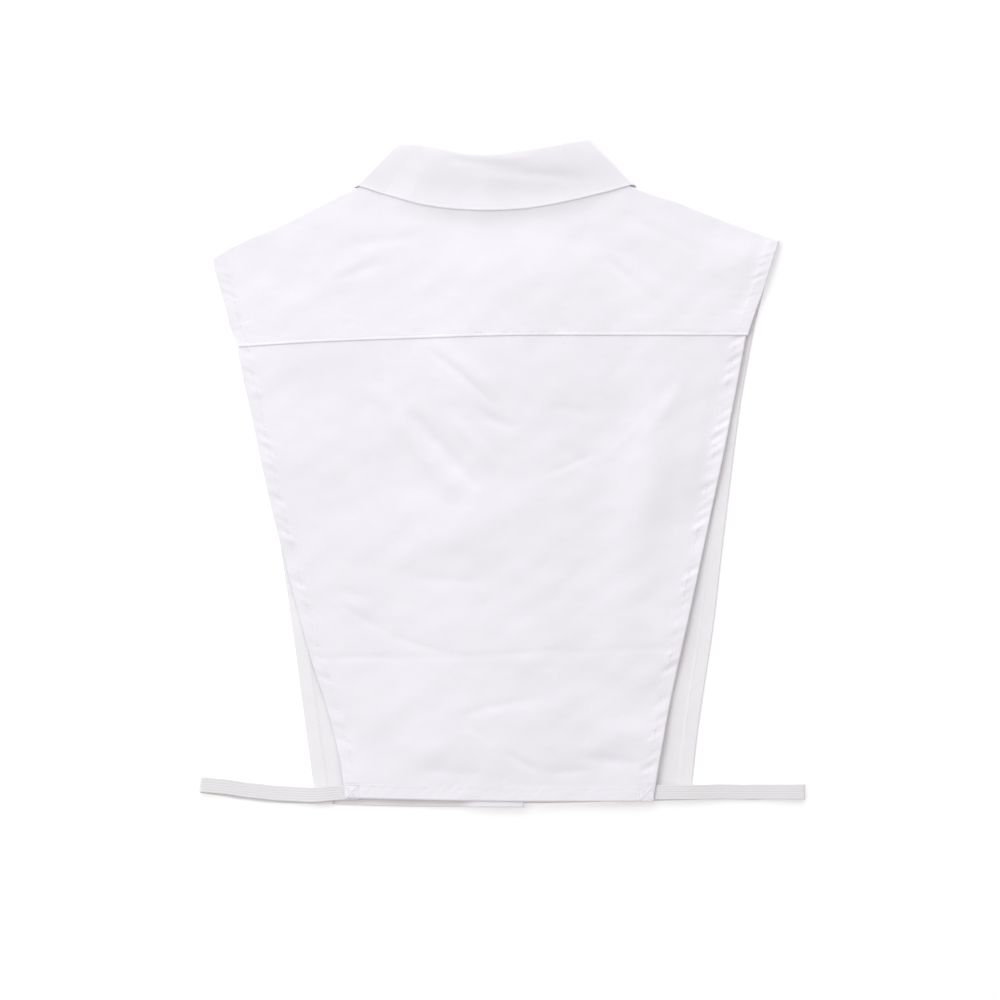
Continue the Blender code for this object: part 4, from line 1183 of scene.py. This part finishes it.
@dataclass
class CollarLeaf(Collar):
    """The leaf: tucked against the stand's top, over the fold and down outside, all round the neck."""

    back_steps: int = 130
    front_steps: int = 60
    turn_steps: int = 16
    fall_steps: int = 34
    topstitch: float = 2.3
    flat: tuple[float, float] = (0.455, 0.060)
    area: float = 0.0195
    creases: tuple[Crease, ...] = (
        Crease(-58.0, 202.0, 74.0, 201.0, 10.0, -0.6, -3.0),
        Crease(-64.0, 225.0, 58.0, 223.0, 9.0, 0.3, -3.0),
        Crease(-44.0, 223.0, 20.0, 216.5, 3.4, -0.85, -1.5),
        Crease(-34.0, 214.0, 62.0, 208.0, 3.5, -0.75, 1.0),
        Crease(-34.0, 228.0, 22.0, 224.0, 2.5, 0.25, -1.0),
        Crease(-74.0, 222.0, -48.0, 208.0, 5.0, 0.25),
        Crease(30.0, 222.0, 66.0, 214.0, 5.0, 0.25),
    )
    drape: tuple[Ripples, ...] = (Ripples(81, 60.0, 22.0, 0.10), Ripples(82, 20.0, 7.0, 0.022, 24))

    def profile(self, width: float) -> Array:
        """Gives the leaf's path from inside the stand over the fold to its edge.

        Args:
            width: The fall's width from fold to edge.

        Returns:
            Rows of the distance from the fold, the share of the fold's height and the share of the fall.
        """
        turn = np.radians(np.linspace(-90.0, 90.0, 13))
        zero = np.zeros(len(turn))
        over = np.stack([self.fold_depth * (1 - np.cos(turn)), (1 + np.sin(turn)) / 2, zero], axis=-1)
        fall = spread(1.0, (0.06, 0.12), (2, self.fall_steps - 14, 12))[1:]
        down = np.stack([self.fold_depth + fall * (width - self.fold_depth), np.ones(len(fall)), fall], axis=-1)
        tuck = np.linspace(self.leaf_tuck, self.fold_depth, 4)[:-1]
        return np.vstack([np.stack([tuck, np.zeros(3), np.zeros(3)], axis=-1), over, down])

    def column(self, fold: Array, edge: Array, inner: float, fold_top: float, edge_top: float) -> tuple[Array, Array]:
        """Gives one flat section's plan points and heights."""
        distance, rise, fall = self.profile(float(np.linalg.norm(edge - fold))).T
        plan = fold + unit(edge - fold) * distance[:, None]
        outer = fold_top + (edge_top - fold_top) * ease(fall, -0.1, 1.0)
        return plan, inner + rise * (outer - inner)

    def back_column(self, fold: Array, edge: Array, detail: bool = True) -> tuple[Array, Array]:
        """Gives a section across the back, with its creases, its groove and its rounded edge."""
        edge_top = self.lay.yoke(edge[0], edge[1]) + self.leaf_edge_lift + self.cloth
        crown = np.clip(1 - ((fold[0] + 6.0) / self.leaf_crown_half_width) ** 2, 0.0, 1.0)
        fold_top = self.leaf_back_top + self.leaf_crown * crown
        plan, height = self.column(fold, edge, self.stand_back_inner, fold_top, edge_top + self.leaf_middle_lift * crown)
        if detail:
            width = np.linalg.norm(edge - fold)
            distance, _, fall = self.profile(float(width)).T
            falling = ease(fall, 0.0, 0.12) * (1 - 0.6 * ease(fall, 0.8, 1.0))
            uneven = crease_height(self.creases, plan[:, 0], plan[:, 1])
            uneven = uneven + sum(ripple(plan[:, 0], plan[:, 1]) for ripple in self.drape)
            height = height + uneven * falling + self.edge_form(width - distance, fall)
        return plan, height

    def edge_form(self, from_edge: Array, fall: Array) -> Array:
        """Gives the rounded edge and the stitched groove beside it."""
        groove = 0.07 * np.exp(-(((from_edge - self.topstitch) / 0.7) ** 2))
        return (edge_roll(from_edge, 0.2, 0.45) - groove) * (fall > 0.5)

    def front_column(self, fold: Array, edge: Array, side: Side) -> tuple[Array, Array]:
        """Gives a section down a front, whose fall lies flat on the floor."""
        tuck = fold + unit(edge - fold) * self.leaf_tuck
        inner = self.lay.front(tuck[0], tuck[1], side) + self.cloth
        return self.column(fold, edge, inner, 0.0, 0.0)

    def turn(self, side: Side) -> list[Array]:
        """Gives the sections round one side of the neck, from above to below: circles that slide aslant."""
        fold, edge, out, inward = self.side_turn(side)
        _, upper = self.back_column(fold, edge)
        _, lower = self.front_column(fold, edge, side)
        width = float(np.linalg.norm(edge - fold))
        distance = self.profile(width)[:, 0]
        radius, middle = (upper[0] - lower[0]) / 2, (upper[0] + lower[0]) / 2
        above, below = upper - upper[0], lower[0] - lower
        centre = radius + ((above + below) / 2).max()
        columns = []
        for angle in np.radians(np.linspace(90.0, -90.0, self.turn_steps + 1)):
            reach = radius + below + (1 + np.sin(angle)) / 2 * (above - below)
            slid = distance - self.slide(distance, width) * angle / QUARTER_TURN
            aside = self.turn_squash * (centre - reach * np.cos(angle))
            plan = fold + out * slid[:, None] + inward * aside[:, None]
            columns.append(np.column_stack([plan, middle + reach * np.sin(angle)]))
        return columns

    def build(self, maker: Maker) -> bpy.types.Object:
        _, folds, edges = self.sections(Outline.BACK_COLLAR, np.linspace(0.8, 7.2, self.back_steps))
        back = [np.column_stack(self.back_column(fold, edge)) for fold, edge in zip(folds, edges)]
        fronts = {}
        for side in Side:
            _, folds, edges = self.sections(Outline.FRONT_COLLAR[side], np.linspace(1.0, 5.0, self.front_steps))
            fronts[side] = [np.column_stack(self.front_column(*place, side)) for place in zip(folds, edges)]
        columns = (
            fronts[Side.LEFT][::-1]
            + self.turn(Side.LEFT)[::-1]
            + back
            + self.turn(Side.RIGHT)
            + fronts[Side.RIGHT]
        )
        points = np.stack(columns, axis=1)[::-1]
        rows = np.linalg.norm(np.diff(points, axis=0), axis=-1)
        up = np.concatenate([np.zeros((1, points.shape[1])), rows.cumsum(axis=0)])
        edge_reach = reach_of(points[0])
        right = np.repeat(edge_reach[None], len(points), axis=0)
        grid = ClothGrid(
            points, np.dstack([right, up]), np.dstack([up - self.topstitch, right]), np.zeros(up.shape)
        )
        piece = maker.cloth("collar_leaf_cloth", grid, Cloth.COLLAR, Cloth.COLLAR, "collar_cotton")
        index = np.argmin(np.abs(up - self.topstitch), axis=0)
        stitched = points[index, np.arange(points.shape[1])]
        flat = self.front_steps
        top = stitched[flat + 3 : -flat - 3] + (0.0, 0.0, 0.04)
        thread = maker.stitches("collar_leaf_stitches", [StitchRow(top)], "collar_cotton")
        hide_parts("collar_leaf")
        return piece


@dataclass
class CollarStand(Collar):
    """The stand: one band round the neck, its ends lapped at the centre front."""

    rows: int = 16
    back_steps: int = 90
    front_steps: int = 50
    turn_steps: int = 14
    lap_steps: int = 10
    flat: tuple[float, float] = (0.450, 0.026)
    area: float = 0.0105

    def edges(self, seam: Array, fold: Array, edge: Array) -> tuple[Array, Array]:
        """Gives the stand's top edge and its lower edge in plan."""
        top = fold + unit(edge - fold) * (self.leaf_tuck + self.seam_gap)
        return top, seam + self.neck_gap * unit(top - seam)

    def column(self, top: Array, bottom: Array, height: Callable[[Array, Array], Array]) -> Array:
        """Gives one flat section from its top edge to the neck seam."""
        share = np.linspace(0.0, 1.0, self.rows)
        plan = top + share[:, None] * (bottom - top)
        return np.column_stack([plan, height(plan, share)])

    def front_column(self, top: Array, bottom: Array, side: Side) -> Array:
        """Gives a section down a front."""
        return self.column(top, bottom, lambda plan, _: self.lay.front(plan[:, 0], plan[:, 1], side))

    def back_column(self, top: Array, bottom: Array) -> Array:
        """Gives a section across the back."""
        at_top, at_seam = self.stand_back_inner + self.cloth, self.lay.yoke(bottom[0], bottom[1])
        return self.column(top, bottom, lambda _, share: at_top + share * (at_seam - at_top))

    def turn(self, side: Side) -> list[Array]:
        """Gives the sections round one side of the neck, inside the leaf's turn."""
        fold, edge, out, leaf_inward = self.side_turn(side)
        toward = np.array([1.0 if side is Side.LEFT else -1.0, 1.0])
        section = Outline.FRONT_COLLAR[side][0]
        seam = np.array([section.seam_x, section.seam_y]) + self.neck_gap * toward * (0.9, 0.43)
        top = fold + out * (self.leaf_tuck + self.stand_turn_gap) + leaf_inward * self.stand_turn_inset
        upper, lower = self.back_column(top, seam), self.front_column(top, seam, side)
        share = np.linspace(0.0, 1.0, self.rows)[:, None]
        inward = unit((1 - share) * leaf_inward + share * np.array(self.stand_turn_inward) * toward)
        slide = self.slide(self.leaf_tuck, float(np.linalg.norm(edge - fold))) * (1 - share) * out
        radius, middle = (upper[:, 2] - lower[:, 2]) / 2, (upper[:, 2] + lower[:, 2]) / 2
        columns = []
        for angle in np.radians(np.linspace(90.0, -90.0, self.turn_steps + 1)):
            aside = self.turn_squash * radius * (1 - np.cos(angle))
            plan = upper[:, :2] + inward * aside[:, None] - slide * angle / QUARTER_TURN
            columns.append(np.column_stack([plan, middle + radius * np.sin(angle)]))
        return columns

    def build(self, maker: Maker) -> bpy.types.Object:
        places = zip(*self.sections(Outline.BACK_COLLAR, np.linspace(0.8, 7.2, self.back_steps)))
        back = [self.back_column(*self.edges(*place)) for place in places]
        fronts = {}
        for side in Side:
            places = zip(*self.sections(Outline.FRONT_COLLAR[side], np.linspace(1.0, 5.0, self.front_steps)))
            columns = [self.front_column(*self.edges(*place), side) for place in places]
            centre = columns[-1][:, :2]
            for share in np.linspace(0.0, 1.0, self.lap_steps + 1)[1:]:
                x = centre[:, 0] + share * (Outline.LAP_END_X[side] - centre[:, 0])
                plan = np.column_stack([x, centre[:, 1]])
                columns.append(np.column_stack([plan, self.lay.front(plan[:, 0], plan[:, 1], side)]))
            fronts[side] = columns
        columns = (
            fronts[Side.LEFT][::-1] + self.turn(Side.LEFT)[::-1] + back + self.turn(Side.RIGHT) + fronts[Side.RIGHT]
        )
        points = np.stack(columns, axis=1)[::-1]
        up = np.concatenate(
            [np.zeros((1, points.shape[1])), np.linalg.norm(np.diff(points, axis=0), axis=-1).cumsum(axis=0)]
        )
        right = np.repeat(reach_of(points[0])[None], len(points), axis=0)
        grid = ClothGrid(points, np.dstack([right, up]), np.dstack([up - 1.8, right]), np.zeros(up.shape))
        piece = maker.cloth("collar_stand_cloth", grid, Cloth.COLLAR, Cloth.COLLAR, "collar_cotton")
        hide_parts("collar_stand")
        return piece


@dataclass
class SideElastic:
    """A side strap: narrow ribbed elastic folded back on itself at its tip."""

    side: Side
    width: float = 10.5
    ribs: int = 6
    rib_height: float = 0.045
    cells_a_rib: int = 6
    steps: int = 12
    turn_steps: int = 12
    flat: tuple[float, float] = (0.0105, 0.212)

    def path(self) -> Array:
        """Gives the middle line: out along one leg, a half circle at the tip, and back along the other."""
        out_leg, back_leg = (smooth(leg, self.steps) for leg in Outline.ELASTIC[self.side])
        top, bottom = out_leg[-1], back_leg[0]
        radius = (top[2] - bottom[2]) / 2
        middle = (top + bottom) / 2
        angle = np.radians(np.linspace(90.0, -90.0, self.turn_steps + 1))[1:-1]
        away = float(self.side.value)
        around = np.column_stack(
            [
                middle[0] + away * radius * np.cos(angle),
                np.interp(-angle, (-QUARTER_TURN, QUARTER_TURN), (top[1], bottom[1])),
                middle[2] + radius * np.sin(angle),
            ]
        )
        path = np.vstack([out_leg, around, back_leg])
        path[:, 2] = np.maximum(path[:, 2], 0.5)
        return path

    def build(self, maker: Maker) -> bpy.types.Object:
        """Builds the strap: its ribbed width carried along the middle line."""
        path = self.path()
        lean = 0.1 if self.side is Side.LEFT else 0.0
        share = np.linspace(0.5, -0.5, self.ribs * self.cells_a_rib + 1)
        forward = unit(np.gradient(path, axis=0))
        across = np.array([lean, 1.0, 0.0])
        up = unit(np.cross(forward, across)) * -self.side.value
        rib = self.rib_height * np.cos(share * self.ribs * 2 * np.pi)
        at = reach_of(path)
        waver = Ripples(91 if self.side is Side.LEFT else 92, 40.0, 14.0, 0.12, 6)(at, 0 * at)
        middle = path[None] + (share * self.width)[:, None, None] * across + waver[None, :, None] * (0, 1, 0)
        points = middle + rib[:, None, None] * up[None]
        points[..., 2] = np.maximum(points[..., 2], 0.45)
        weave = np.dstack([np.repeat(at[None], len(share), axis=0), np.repeat(share[:, None] * self.width, len(at), 1)])
        seam = np.dstack([np.full(weave.shape[:2], 50.0), weave[..., 0]])
        order = slice(None, None, -1) if self.side is Side.RIGHT else slice(None)
        grid = ClothGrid(points[order], weave[order], seam, np.zeros(weave.shape[:2]))
        name = self.side.name.lower()
        piece = maker.cloth(f"elastic_{name}_strap", grid, Cloth.STRAP, Cloth.STRAP, "elastic")
        piece.modifiers["Cloth wall"].offset = 0.0
        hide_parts(f"elastic_{name}")
        self.flat[0] * self.flat[1]
        return piece


@dataclass
class Buttons:
    """Small four-hole buttons down the centre front, their faces to the floor."""

    x: float = 1.8
    stand_y: float = 152.0
    first_y: float = 96.0
    pitch: float = 59.0
    count: int = 6
    radius: float = 5.5
    thickness: float = 2.0
    dish: float = 0.5
    rim: float = 1.4
    hole_radius: float = 0.75
    hole_reach: float = 1.35
    hole_depth: float = 0.9
    rings: int = 30
    sides: int = 72

    def surface(self) -> tuple[Array, list[list[int]]]:
        """Gives one button: height over the floor as a function of radius and angle, closed at both poles.

        Its face is dished inside a rounded rim, with four deep round holes, and its back is flat.
        """
        reach = np.linspace(0.0, 1.0, self.rings) ** 0.85 * self.radius
        turn = np.arange(self.sides) / self.sides * 2 * np.pi
        r, angle = np.meshgrid(reach, turn, indexing="ij")
        x, y = r * np.cos(angle), r * np.sin(angle)
        rim_at = self.radius - self.rim / 2
        face = self.dish * (1 - ease(r, rim_at - self.rim, rim_at)) + 0.7 * ease(r, rim_at, self.radius) ** 2
        for hole in range(4):
            around = np.pi / 4 + hole * np.pi / 2
            away = np.hypot(x - self.hole_reach * np.cos(around), y - self.hole_reach * np.sin(around))
            face = face + self.hole_depth * (1 - ease(away, self.hole_radius * 0.7, self.hole_radius))
        back = self.thickness - 0.35 * ease(r, self.radius - 1.0, self.radius) ** 2
        front = np.dstack([x, y, face])[1:]
        rear = np.dstack([x, y, back])[1:][::-1]
        skin = np.concatenate([front, rear]).reshape(-1, 3)
        rings = 2 * (self.rings - 1)
        index = np.arange(rings * self.sides).reshape(rings, self.sides)
        following = np.roll(index, -1, axis=1)
        faces = np.stack([index[:-1], following[:-1], following[1:], index[1:]], axis=-1).reshape(-1, 4).tolist()
        poles = np.array([[0.0, 0.0, face[0, 0]], [0.0, 0.0, back[0, 0]]])
        first, last = len(skin), len(skin) + 1
        faces += np.stack([np.full(self.sides, first), following[0], index[0]], axis=-1).tolist()
        faces += np.stack([np.full(self.sides, last), index[-1], following[-1]], axis=-1).tolist()
        return np.vstack([skin, poles]), faces

    def build(self, maker: Maker) -> None:
        """Builds each button where its solid is, and the thread across its holes."""
        skin, faces = self.surface()
        places = {"button_stand": self.stand_y}
        places.update({f"button_{n + 1}": self.first_y - n * self.pitch for n in range(self.count)})
        threads = []
        for name, y in places.items():
            piece = maker.put(f"{name}_dressed", skin + (self.x, y, 0.0), faces, "button")
            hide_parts(name)
            for turn in (1, -1):
                end = self.hole_reach * np.array([np.cos(np.pi / 4), turn * np.sin(np.pi / 4), 0.0])
                place = np.array([self.x, y, self.dish - 0.12])
                threads.append(StitchRow(np.array([place - end, place + end]), 2.7, 2.9, 0.28, -1.0))
        maker.stitches("button_threads", threads, "cotton")


class Value:
    """A shader socket that holds a number; arithmetic on it adds Math nodes."""

    def __init__(self, graph: "Graph", socket: bpy.types.NodeSocket) -> None:
        """Keeps the socket and the graph it is in."""
        self.graph, self.socket = graph, socket

    def __add__(self, other: "Value | float") -> "Value":
        """Adds."""
        return self.graph.maths("ADD", self, other)

    __radd__ = __add__

    def __sub__(self, other: "Value | float") -> "Value":
        """Subtracts."""
        return self.graph.maths("SUBTRACT", self, other)

    def __rsub__(self, other: "Value | float") -> "Value":
        """Subtracts this from a number."""
        return self.graph.maths("SUBTRACT", other, self)

    def __mul__(self, other: "Value | float") -> "Value":
        """Multiplies."""
        return self.graph.maths("MULTIPLY", self, other)

    __rmul__ = __mul__

    def __pow__(self, other: "Value | float") -> "Value":
        """Raises to a power."""
        return self.graph.maths("POWER", self, other)

    def __abs__(self) -> "Value":
        """Drops the sign."""
        return self.graph.maths("ABSOLUTE", self)

    def sine(self) -> "Value":
        """Gives the sine of an angle in radians."""
        return self.graph.maths("SINE", self)

    def step(self, start: float, end: float) -> "Value":
        """Gives 0 before start and 1 after end, with a smooth S between."""
        settings = {"interpolation_type": "SMOOTHSTEP"}
        node = self.graph.node("ShaderNodeMapRange", settings, {"Value": self, "From Min": start, "From Max": end})
        return Value(self.graph, node.outputs["Result"])


class Graph:
    """One material's nodes."""

    def __init__(self, name: str) -> None:
        """Starts a material with an empty Principled BSDF."""
        self.material = bpy.data.materials.new(name)
        self.material.use_nodes = True
        self.tree = self.material.node_tree
        self.shader = self.tree.nodes["Principled BSDF"]

    def node(self, kind: str, settings: dict[str, object], inputs: dict[object, object]) -> bpy.types.Node:
        """Adds a node.

        Args:
            kind: The node's type.
            settings: Its settings, made first.
            inputs: The values or links of its sockets.

        Returns:
            The new node.
        """
        node = self.tree.nodes.new(kind)
        for name, value in settings.items():
            setattr(node, name, value)
        for name, value in inputs.items():
            self.feed(node.inputs[name], value)
        return node

    def feed(self, socket: bpy.types.NodeSocket, value: object) -> None:
        """Links a socket, or sets its value."""
        if isinstance(value, Value):
            value = value.socket
        if isinstance(value, bpy.types.NodeSocket):
            self.tree.links.new(value, socket)
        else:
            socket.default_value = value

    def maths(self, operation: str, *terms: "Value | float") -> Value:
        """Adds a Math node."""
        node = self.node("ShaderNodeMath", {"operation": operation}, dict(enumerate(terms)))
        return Value(self, node.outputs[0])

    def parts(self, vector: bpy.types.NodeSocket) -> tuple[Value, Value]:
        """Gives a vector's first two numbers."""
        node = self.node("ShaderNodeSeparateXYZ", {}, {0: vector})
        return Value(self, node.outputs[0]), Value(self, node.outputs[1])

    def noise(self, vector: bpy.types.NodeSocket, scale: tuple[float, float, float], detail: float) -> Value:
        """Gives noise on coordinates stretched by a scale."""
        stretched = self.node("ShaderNodeVectorMath", {"operation": "MULTIPLY"}, {0: vector, 1: scale})
        inputs = {"Vector": stretched.outputs[0], "Scale": 1.0, "Detail": detail}
        return Value(self, self.node("ShaderNodeTexNoise", {}, inputs).outputs["Fac"])

    def blend(self, factor: Value, first: object, second: object) -> bpy.types.NodeSocket:
        """Mixes two colours."""
        node = self.node("ShaderNodeMix", {"data_type": "RGBA"}, {"Factor": factor, 6: first, 7: second})
        return node.outputs[2]

    def bump(self, height: Value, distance: float) -> bpy.types.NodeSocket:
        """Gives a normal from a height in units of the distance."""
        node = self.node("ShaderNodeBump", {}, {"Height": height, "Distance": distance, "Strength": 1.0})
        return node.outputs["Normal"]


@dataclass(frozen=True)
class ClothFinish:
    """Plain-weave cotton with slubs, a soft mottle and needle holes beside its stitches, the holes darkened with
    painted shade.
    """

    name: str
    light: tuple[float, float, float, float]
    shade: tuple[float, float, float, float]
    roughness: float = 0.82
    sheen: float = 0.06
    thread: float = 0.34
    weave_depth: float = 0.016
    slub_depth: float = 0.03
    stitch_pitch: float = 2.95

    def material(self) -> bpy.types.Material:
        """Builds the material."""
        graph = Graph(self.name)
        weave = graph.node("ShaderNodeUVMap", {"uv_map": "Weave"}, {}).outputs["UV"]
        seam = graph.node("ShaderNodeUVMap", {"uv_map": "Seam"}, {}).outputs["UV"]
        across, up = graph.parts(weave)
        aside, at = graph.parts(seam)
        warp, weft = (across * (np.pi / self.thread)).sine(), (up * (np.pi / self.thread)).sine()
        over = (warp * weft).step(-0.3, 0.3)
        threads = over * abs(warp) + (1.0 - over) * abs(weft)
        slubs = graph.noise(weave, (0.05, 1.9, 0.0), 2.0) + graph.noise(weave, (1.9, 0.05, 0.0), 2.0)
        mottle = graph.noise(weave, (0.035, 0.035, 0.0), 4.0)
        groove = 1.0 - abs(aside).step(0.1, 0.65)
        holes = ((at * (2 * np.pi / self.stitch_pitch) + np.pi / 2).sine()).step(0.8, 1.0) * groove
        tone = (mottle * 0.9 + slubs * 0.35 - 0.3).step(0.1, 0.9)
        colour = graph.blend(tone, self.shade, self.light)
        # The needle holes are darkened a little: painted shade in the holes, besides their small dip in the bump.
        colour = graph.blend(holes * 0.1, colour, tuple(0.7 * part for part in self.shade[:3]) + (1.0,))
        graph.feed(graph.shader.inputs["Base Color"], colour)
        graph.feed(graph.shader.inputs["Roughness"], self.roughness + (slubs - 1.0) * 0.15)
        height = threads * self.weave_depth + slubs * self.slub_depth - groove * 0.01 - holes * 0.03
        graph.feed(graph.shader.inputs["Normal"], graph.bump(height, MM))
        graph.shader.inputs["Sheen Weight"].default_value = self.sheen
        graph.shader.inputs["Sheen Roughness"].default_value = 0.5
        graph.shader.inputs["Specular IOR Level"].default_value = 0.18
        return graph.material


@dataclass(frozen=True)
class ElasticFinish:
    """Braided elastic: fine slanting threads in each lengthwise rib, with painted shade in the grooves between the
    ribs.
    """

    name: str
    light: tuple[float, float, float, float]
    shade: tuple[float, float, float, float]
    roughness: float = 0.7
    rib: float = 1.75
    thread: float = 0.8

    def material(self) -> bpy.types.Material:
        """Builds the material."""
        graph = Graph(self.name)
        weave = graph.node("ShaderNodeUVMap", {"uv_map": "Weave"}, {}).outputs["UV"]
        along_it, across = graph.parts(weave)
        rib = abs((across * (np.pi / self.rib)).sine())
        slant = ((along_it + rib * 0.5) * (2 * np.pi / self.thread)).sine()
        mottle = graph.noise(weave, (0.3, 0.9, 0.0), 3.0)
        # The rib stripes darken the grooves between the ribs, where the bump sinks: painted shade.
        tone = (rib * 0.5 + slant * 0.12 + mottle * 0.5).step(0.0, 1.0)
        graph.feed(graph.shader.inputs["Base Color"], graph.blend(tone, self.shade, self.light))
        graph.feed(graph.shader.inputs["Roughness"], self.roughness - rib * 0.1)
        graph.feed(graph.shader.inputs["Normal"], graph.bump(slant * 0.02 + rib * 0.02, MM))
        return graph.material


@dataclass(frozen=True)
class ButtonFinish:
    """Pearly resin: a soft cloud under a polished face."""

    name: str
    light: tuple[float, float, float, float]
    shade: tuple[float, float, float, float]
    roughness: float = 0.18

    def material(self) -> bpy.types.Material:
        """Builds the material."""
        graph = Graph(self.name)
        place = graph.node("ShaderNodeTexCoord", {}, {}).outputs["Object"]
        cloud = graph.noise(place, (240.0, 420.0, 300.0), 3.0)
        streak = graph.noise(place, (90.0, 900.0, 90.0), 2.0)
        tone = (cloud * 0.6 + streak * 0.4).step(0.3, 0.7)
        graph.feed(graph.shader.inputs["Base Color"], graph.blend(tone, self.shade, self.light))
        graph.feed(graph.shader.inputs["Roughness"], self.roughness + cloud * 0.08)
        graph.shader.inputs["Coat Weight"].default_value = 0.3
        return graph.material


@dataclass
class Studio:
    """A white floor, soft lights from the upper left, and a camera straight above."""

    mm_a_pixel: float = 0.71
    pixels: int = 1000
    middle_pixel: tuple[float, float] = (502.5, 473.4)
    camera_height: float = 2.2
    sensor: float = 36.0
    floor_size: float = 40.0
    world_strength: float = 0.50
    world_colour: tuple[float, float, float, float] = (1.045, 1.0, 0.97, 1.0)
    key_power: float = 190.0
    key_size: float = 6.0
    key_colour: tuple[float, float, float] = (0.93, 0.97, 1.01)
    key_place: tuple[float, float, float] = (-0.95, 3.6, 2.45)
    fill_power: float = 8.0
    fill_size: float = 1.0
    fill_place: tuple[float, float, float] = (-1.05, 0.0, 1.8)
    floor_glow: float = 0.19
    bounces: int = 16

    def build(self) -> None:
        """Builds the studio."""
        self.floor()
        self.light("key", self.key_place, self.key_size, self.key_power)
        self.light("fill", self.fill_place, self.fill_size, self.fill_power)
        self.camera()
        world = bpy.data.worlds.new("Soft studio")
        world.use_nodes = True
        background = world.node_tree.nodes["Background"]
        background.inputs["Color"].default_value = self.world_colour
        background.inputs["Strength"].default_value = self.world_strength
        bpy.context.scene.world = world
        bpy.context.scene.view_settings.view_transform = "Standard"
        bpy.context.scene.cycles.max_bounces = self.bounces
        bpy.context.scene.cycles.diffuse_bounces = self.bounces

    def floor(self) -> None:
        """Makes the floor."""
        half = self.floor_size / 2
        mesh = bpy.data.meshes.new("floor")
        mesh.from_pydata([(-half, -half, 0), (half, -half, 0), (half, half, 0), (-half, half, 0)], [], [(0, 1, 2, 3)])
        graph = Graph("White floor")
        graph.shader.inputs["Base Color"].default_value = (0.95, 0.95, 0.95, 1.0)
        graph.shader.inputs["Emission Color"].default_value = (1.0, 1.0, 1.0, 1.0)
        graph.shader.inputs["Emission Strength"].default_value = self.floor_glow
        graph.shader.inputs["Roughness"].default_value = 0.95
        graph.shader.inputs["Specular IOR Level"].default_value = 0.0
        mesh.materials.append(graph.material)
        floor = bpy.data.objects.new("floor", mesh)
        floor.location.z = -0.0002
        bpy.context.scene.collection.objects.link(floor)

    def light(self, name: str, place: tuple[float, float, float], size: float, power: float) -> None:
        """Adds a square soft light that points at the garment."""
        data = bpy.data.lights.new(name, "AREA")
        data.shape, data.size, data.energy = "SQUARE", size, power
        data.color = self.key_colour
        lamp = bpy.data.objects.new(name, data)
        lamp.location = place
        lamp.rotation_mode = "QUATERNION"
        lamp.rotation_quaternion = (-lamp.location).to_track_quat("-Z", "Y")
        bpy.context.scene.collection.objects.link(lamp)

    def camera(self) -> None:
        """Sets the camera so that one pixel of the picture is the same size as in the photograph."""
        data = bpy.data.cameras.new("camera")
        data.sensor_width = self.sensor
        data.lens = self.sensor * self.camera_height / (self.mm_a_pixel * MM * self.pixels)
        camera = bpy.data.objects.new("camera", data)
        middle = self.pixels / 2
        camera.location = (
            (middle - self.middle_pixel[0]) * self.mm_a_pixel * MM,
            (self.middle_pixel[1] - middle) * self.mm_a_pixel * MM,
            self.camera_height - 0.001,
        )
        bpy.context.scene.collection.objects.link(camera)
        bpy.context.scene.camera = camera


def finishes() -> dict[str, bpy.types.Material]:
    """Builds every finish, by its slot."""
    return {
        "cotton": ClothFinish("White cotton", (0.935, 0.917, 0.960, 1.0), (0.90, 0.88, 0.928, 1.0)).material(),
        # The back's cotton is the same cloth painted about two percent darker than the yoke's: painted shade.
        "shaded_back_cotton": ClothFinish(
            "White cotton of the back with painted shade", (0.915, 0.894, 0.940, 1.0), (0.880, 0.857, 0.908, 1.0)
        ).material(),
        "collar_cotton": ClothFinish(
            "White collar cotton", (0.935, 0.917, 0.960, 1.0), (0.905, 0.886, 0.93, 1.0), weave_depth=0.012
        ).material(),
        # The fronts' cotton is the same cloth painted greyer and warmer: painted warm shade.
        "front_cotton": ClothFinish(
            "White cotton of the fronts", (0.915, 0.90, 0.92, 1.0), (0.885, 0.87, 0.89, 1.0)
        ).material(),
        "elastic": ElasticFinish("White elastic", (0.84, 0.825, 0.84, 1.0), (0.79, 0.775, 0.79, 1.0)).material(),
        "button": ButtonFinish("White button", (0.88, 0.88, 0.86, 1.0), (0.80, 0.80, 0.79, 1.0)).material(),
    }


def main() -> None:
    """Builds the garment piece by piece, and then the studio."""
    logging.basicConfig(level=logging.INFO, format="%(name)s: %(message)s")
    maker = Maker(finishes())
    lay = Lay()
    parts = [
        BackPanel(lay),
        Yoke(lay),
        Front(lay, Side.LEFT),
        Front(lay, Side.RIGHT),
        CollarStand(lay),
        CollarLeaf(lay),
        SideElastic(Side.LEFT),
        SideElastic(Side.RIGHT),
        Buttons(),
    ]
    for part in parts:
        part.build(maker)
        LOG.info("built %s", type(part).__name__)
    Studio().build()


if __name__ == "__main__":
    main()
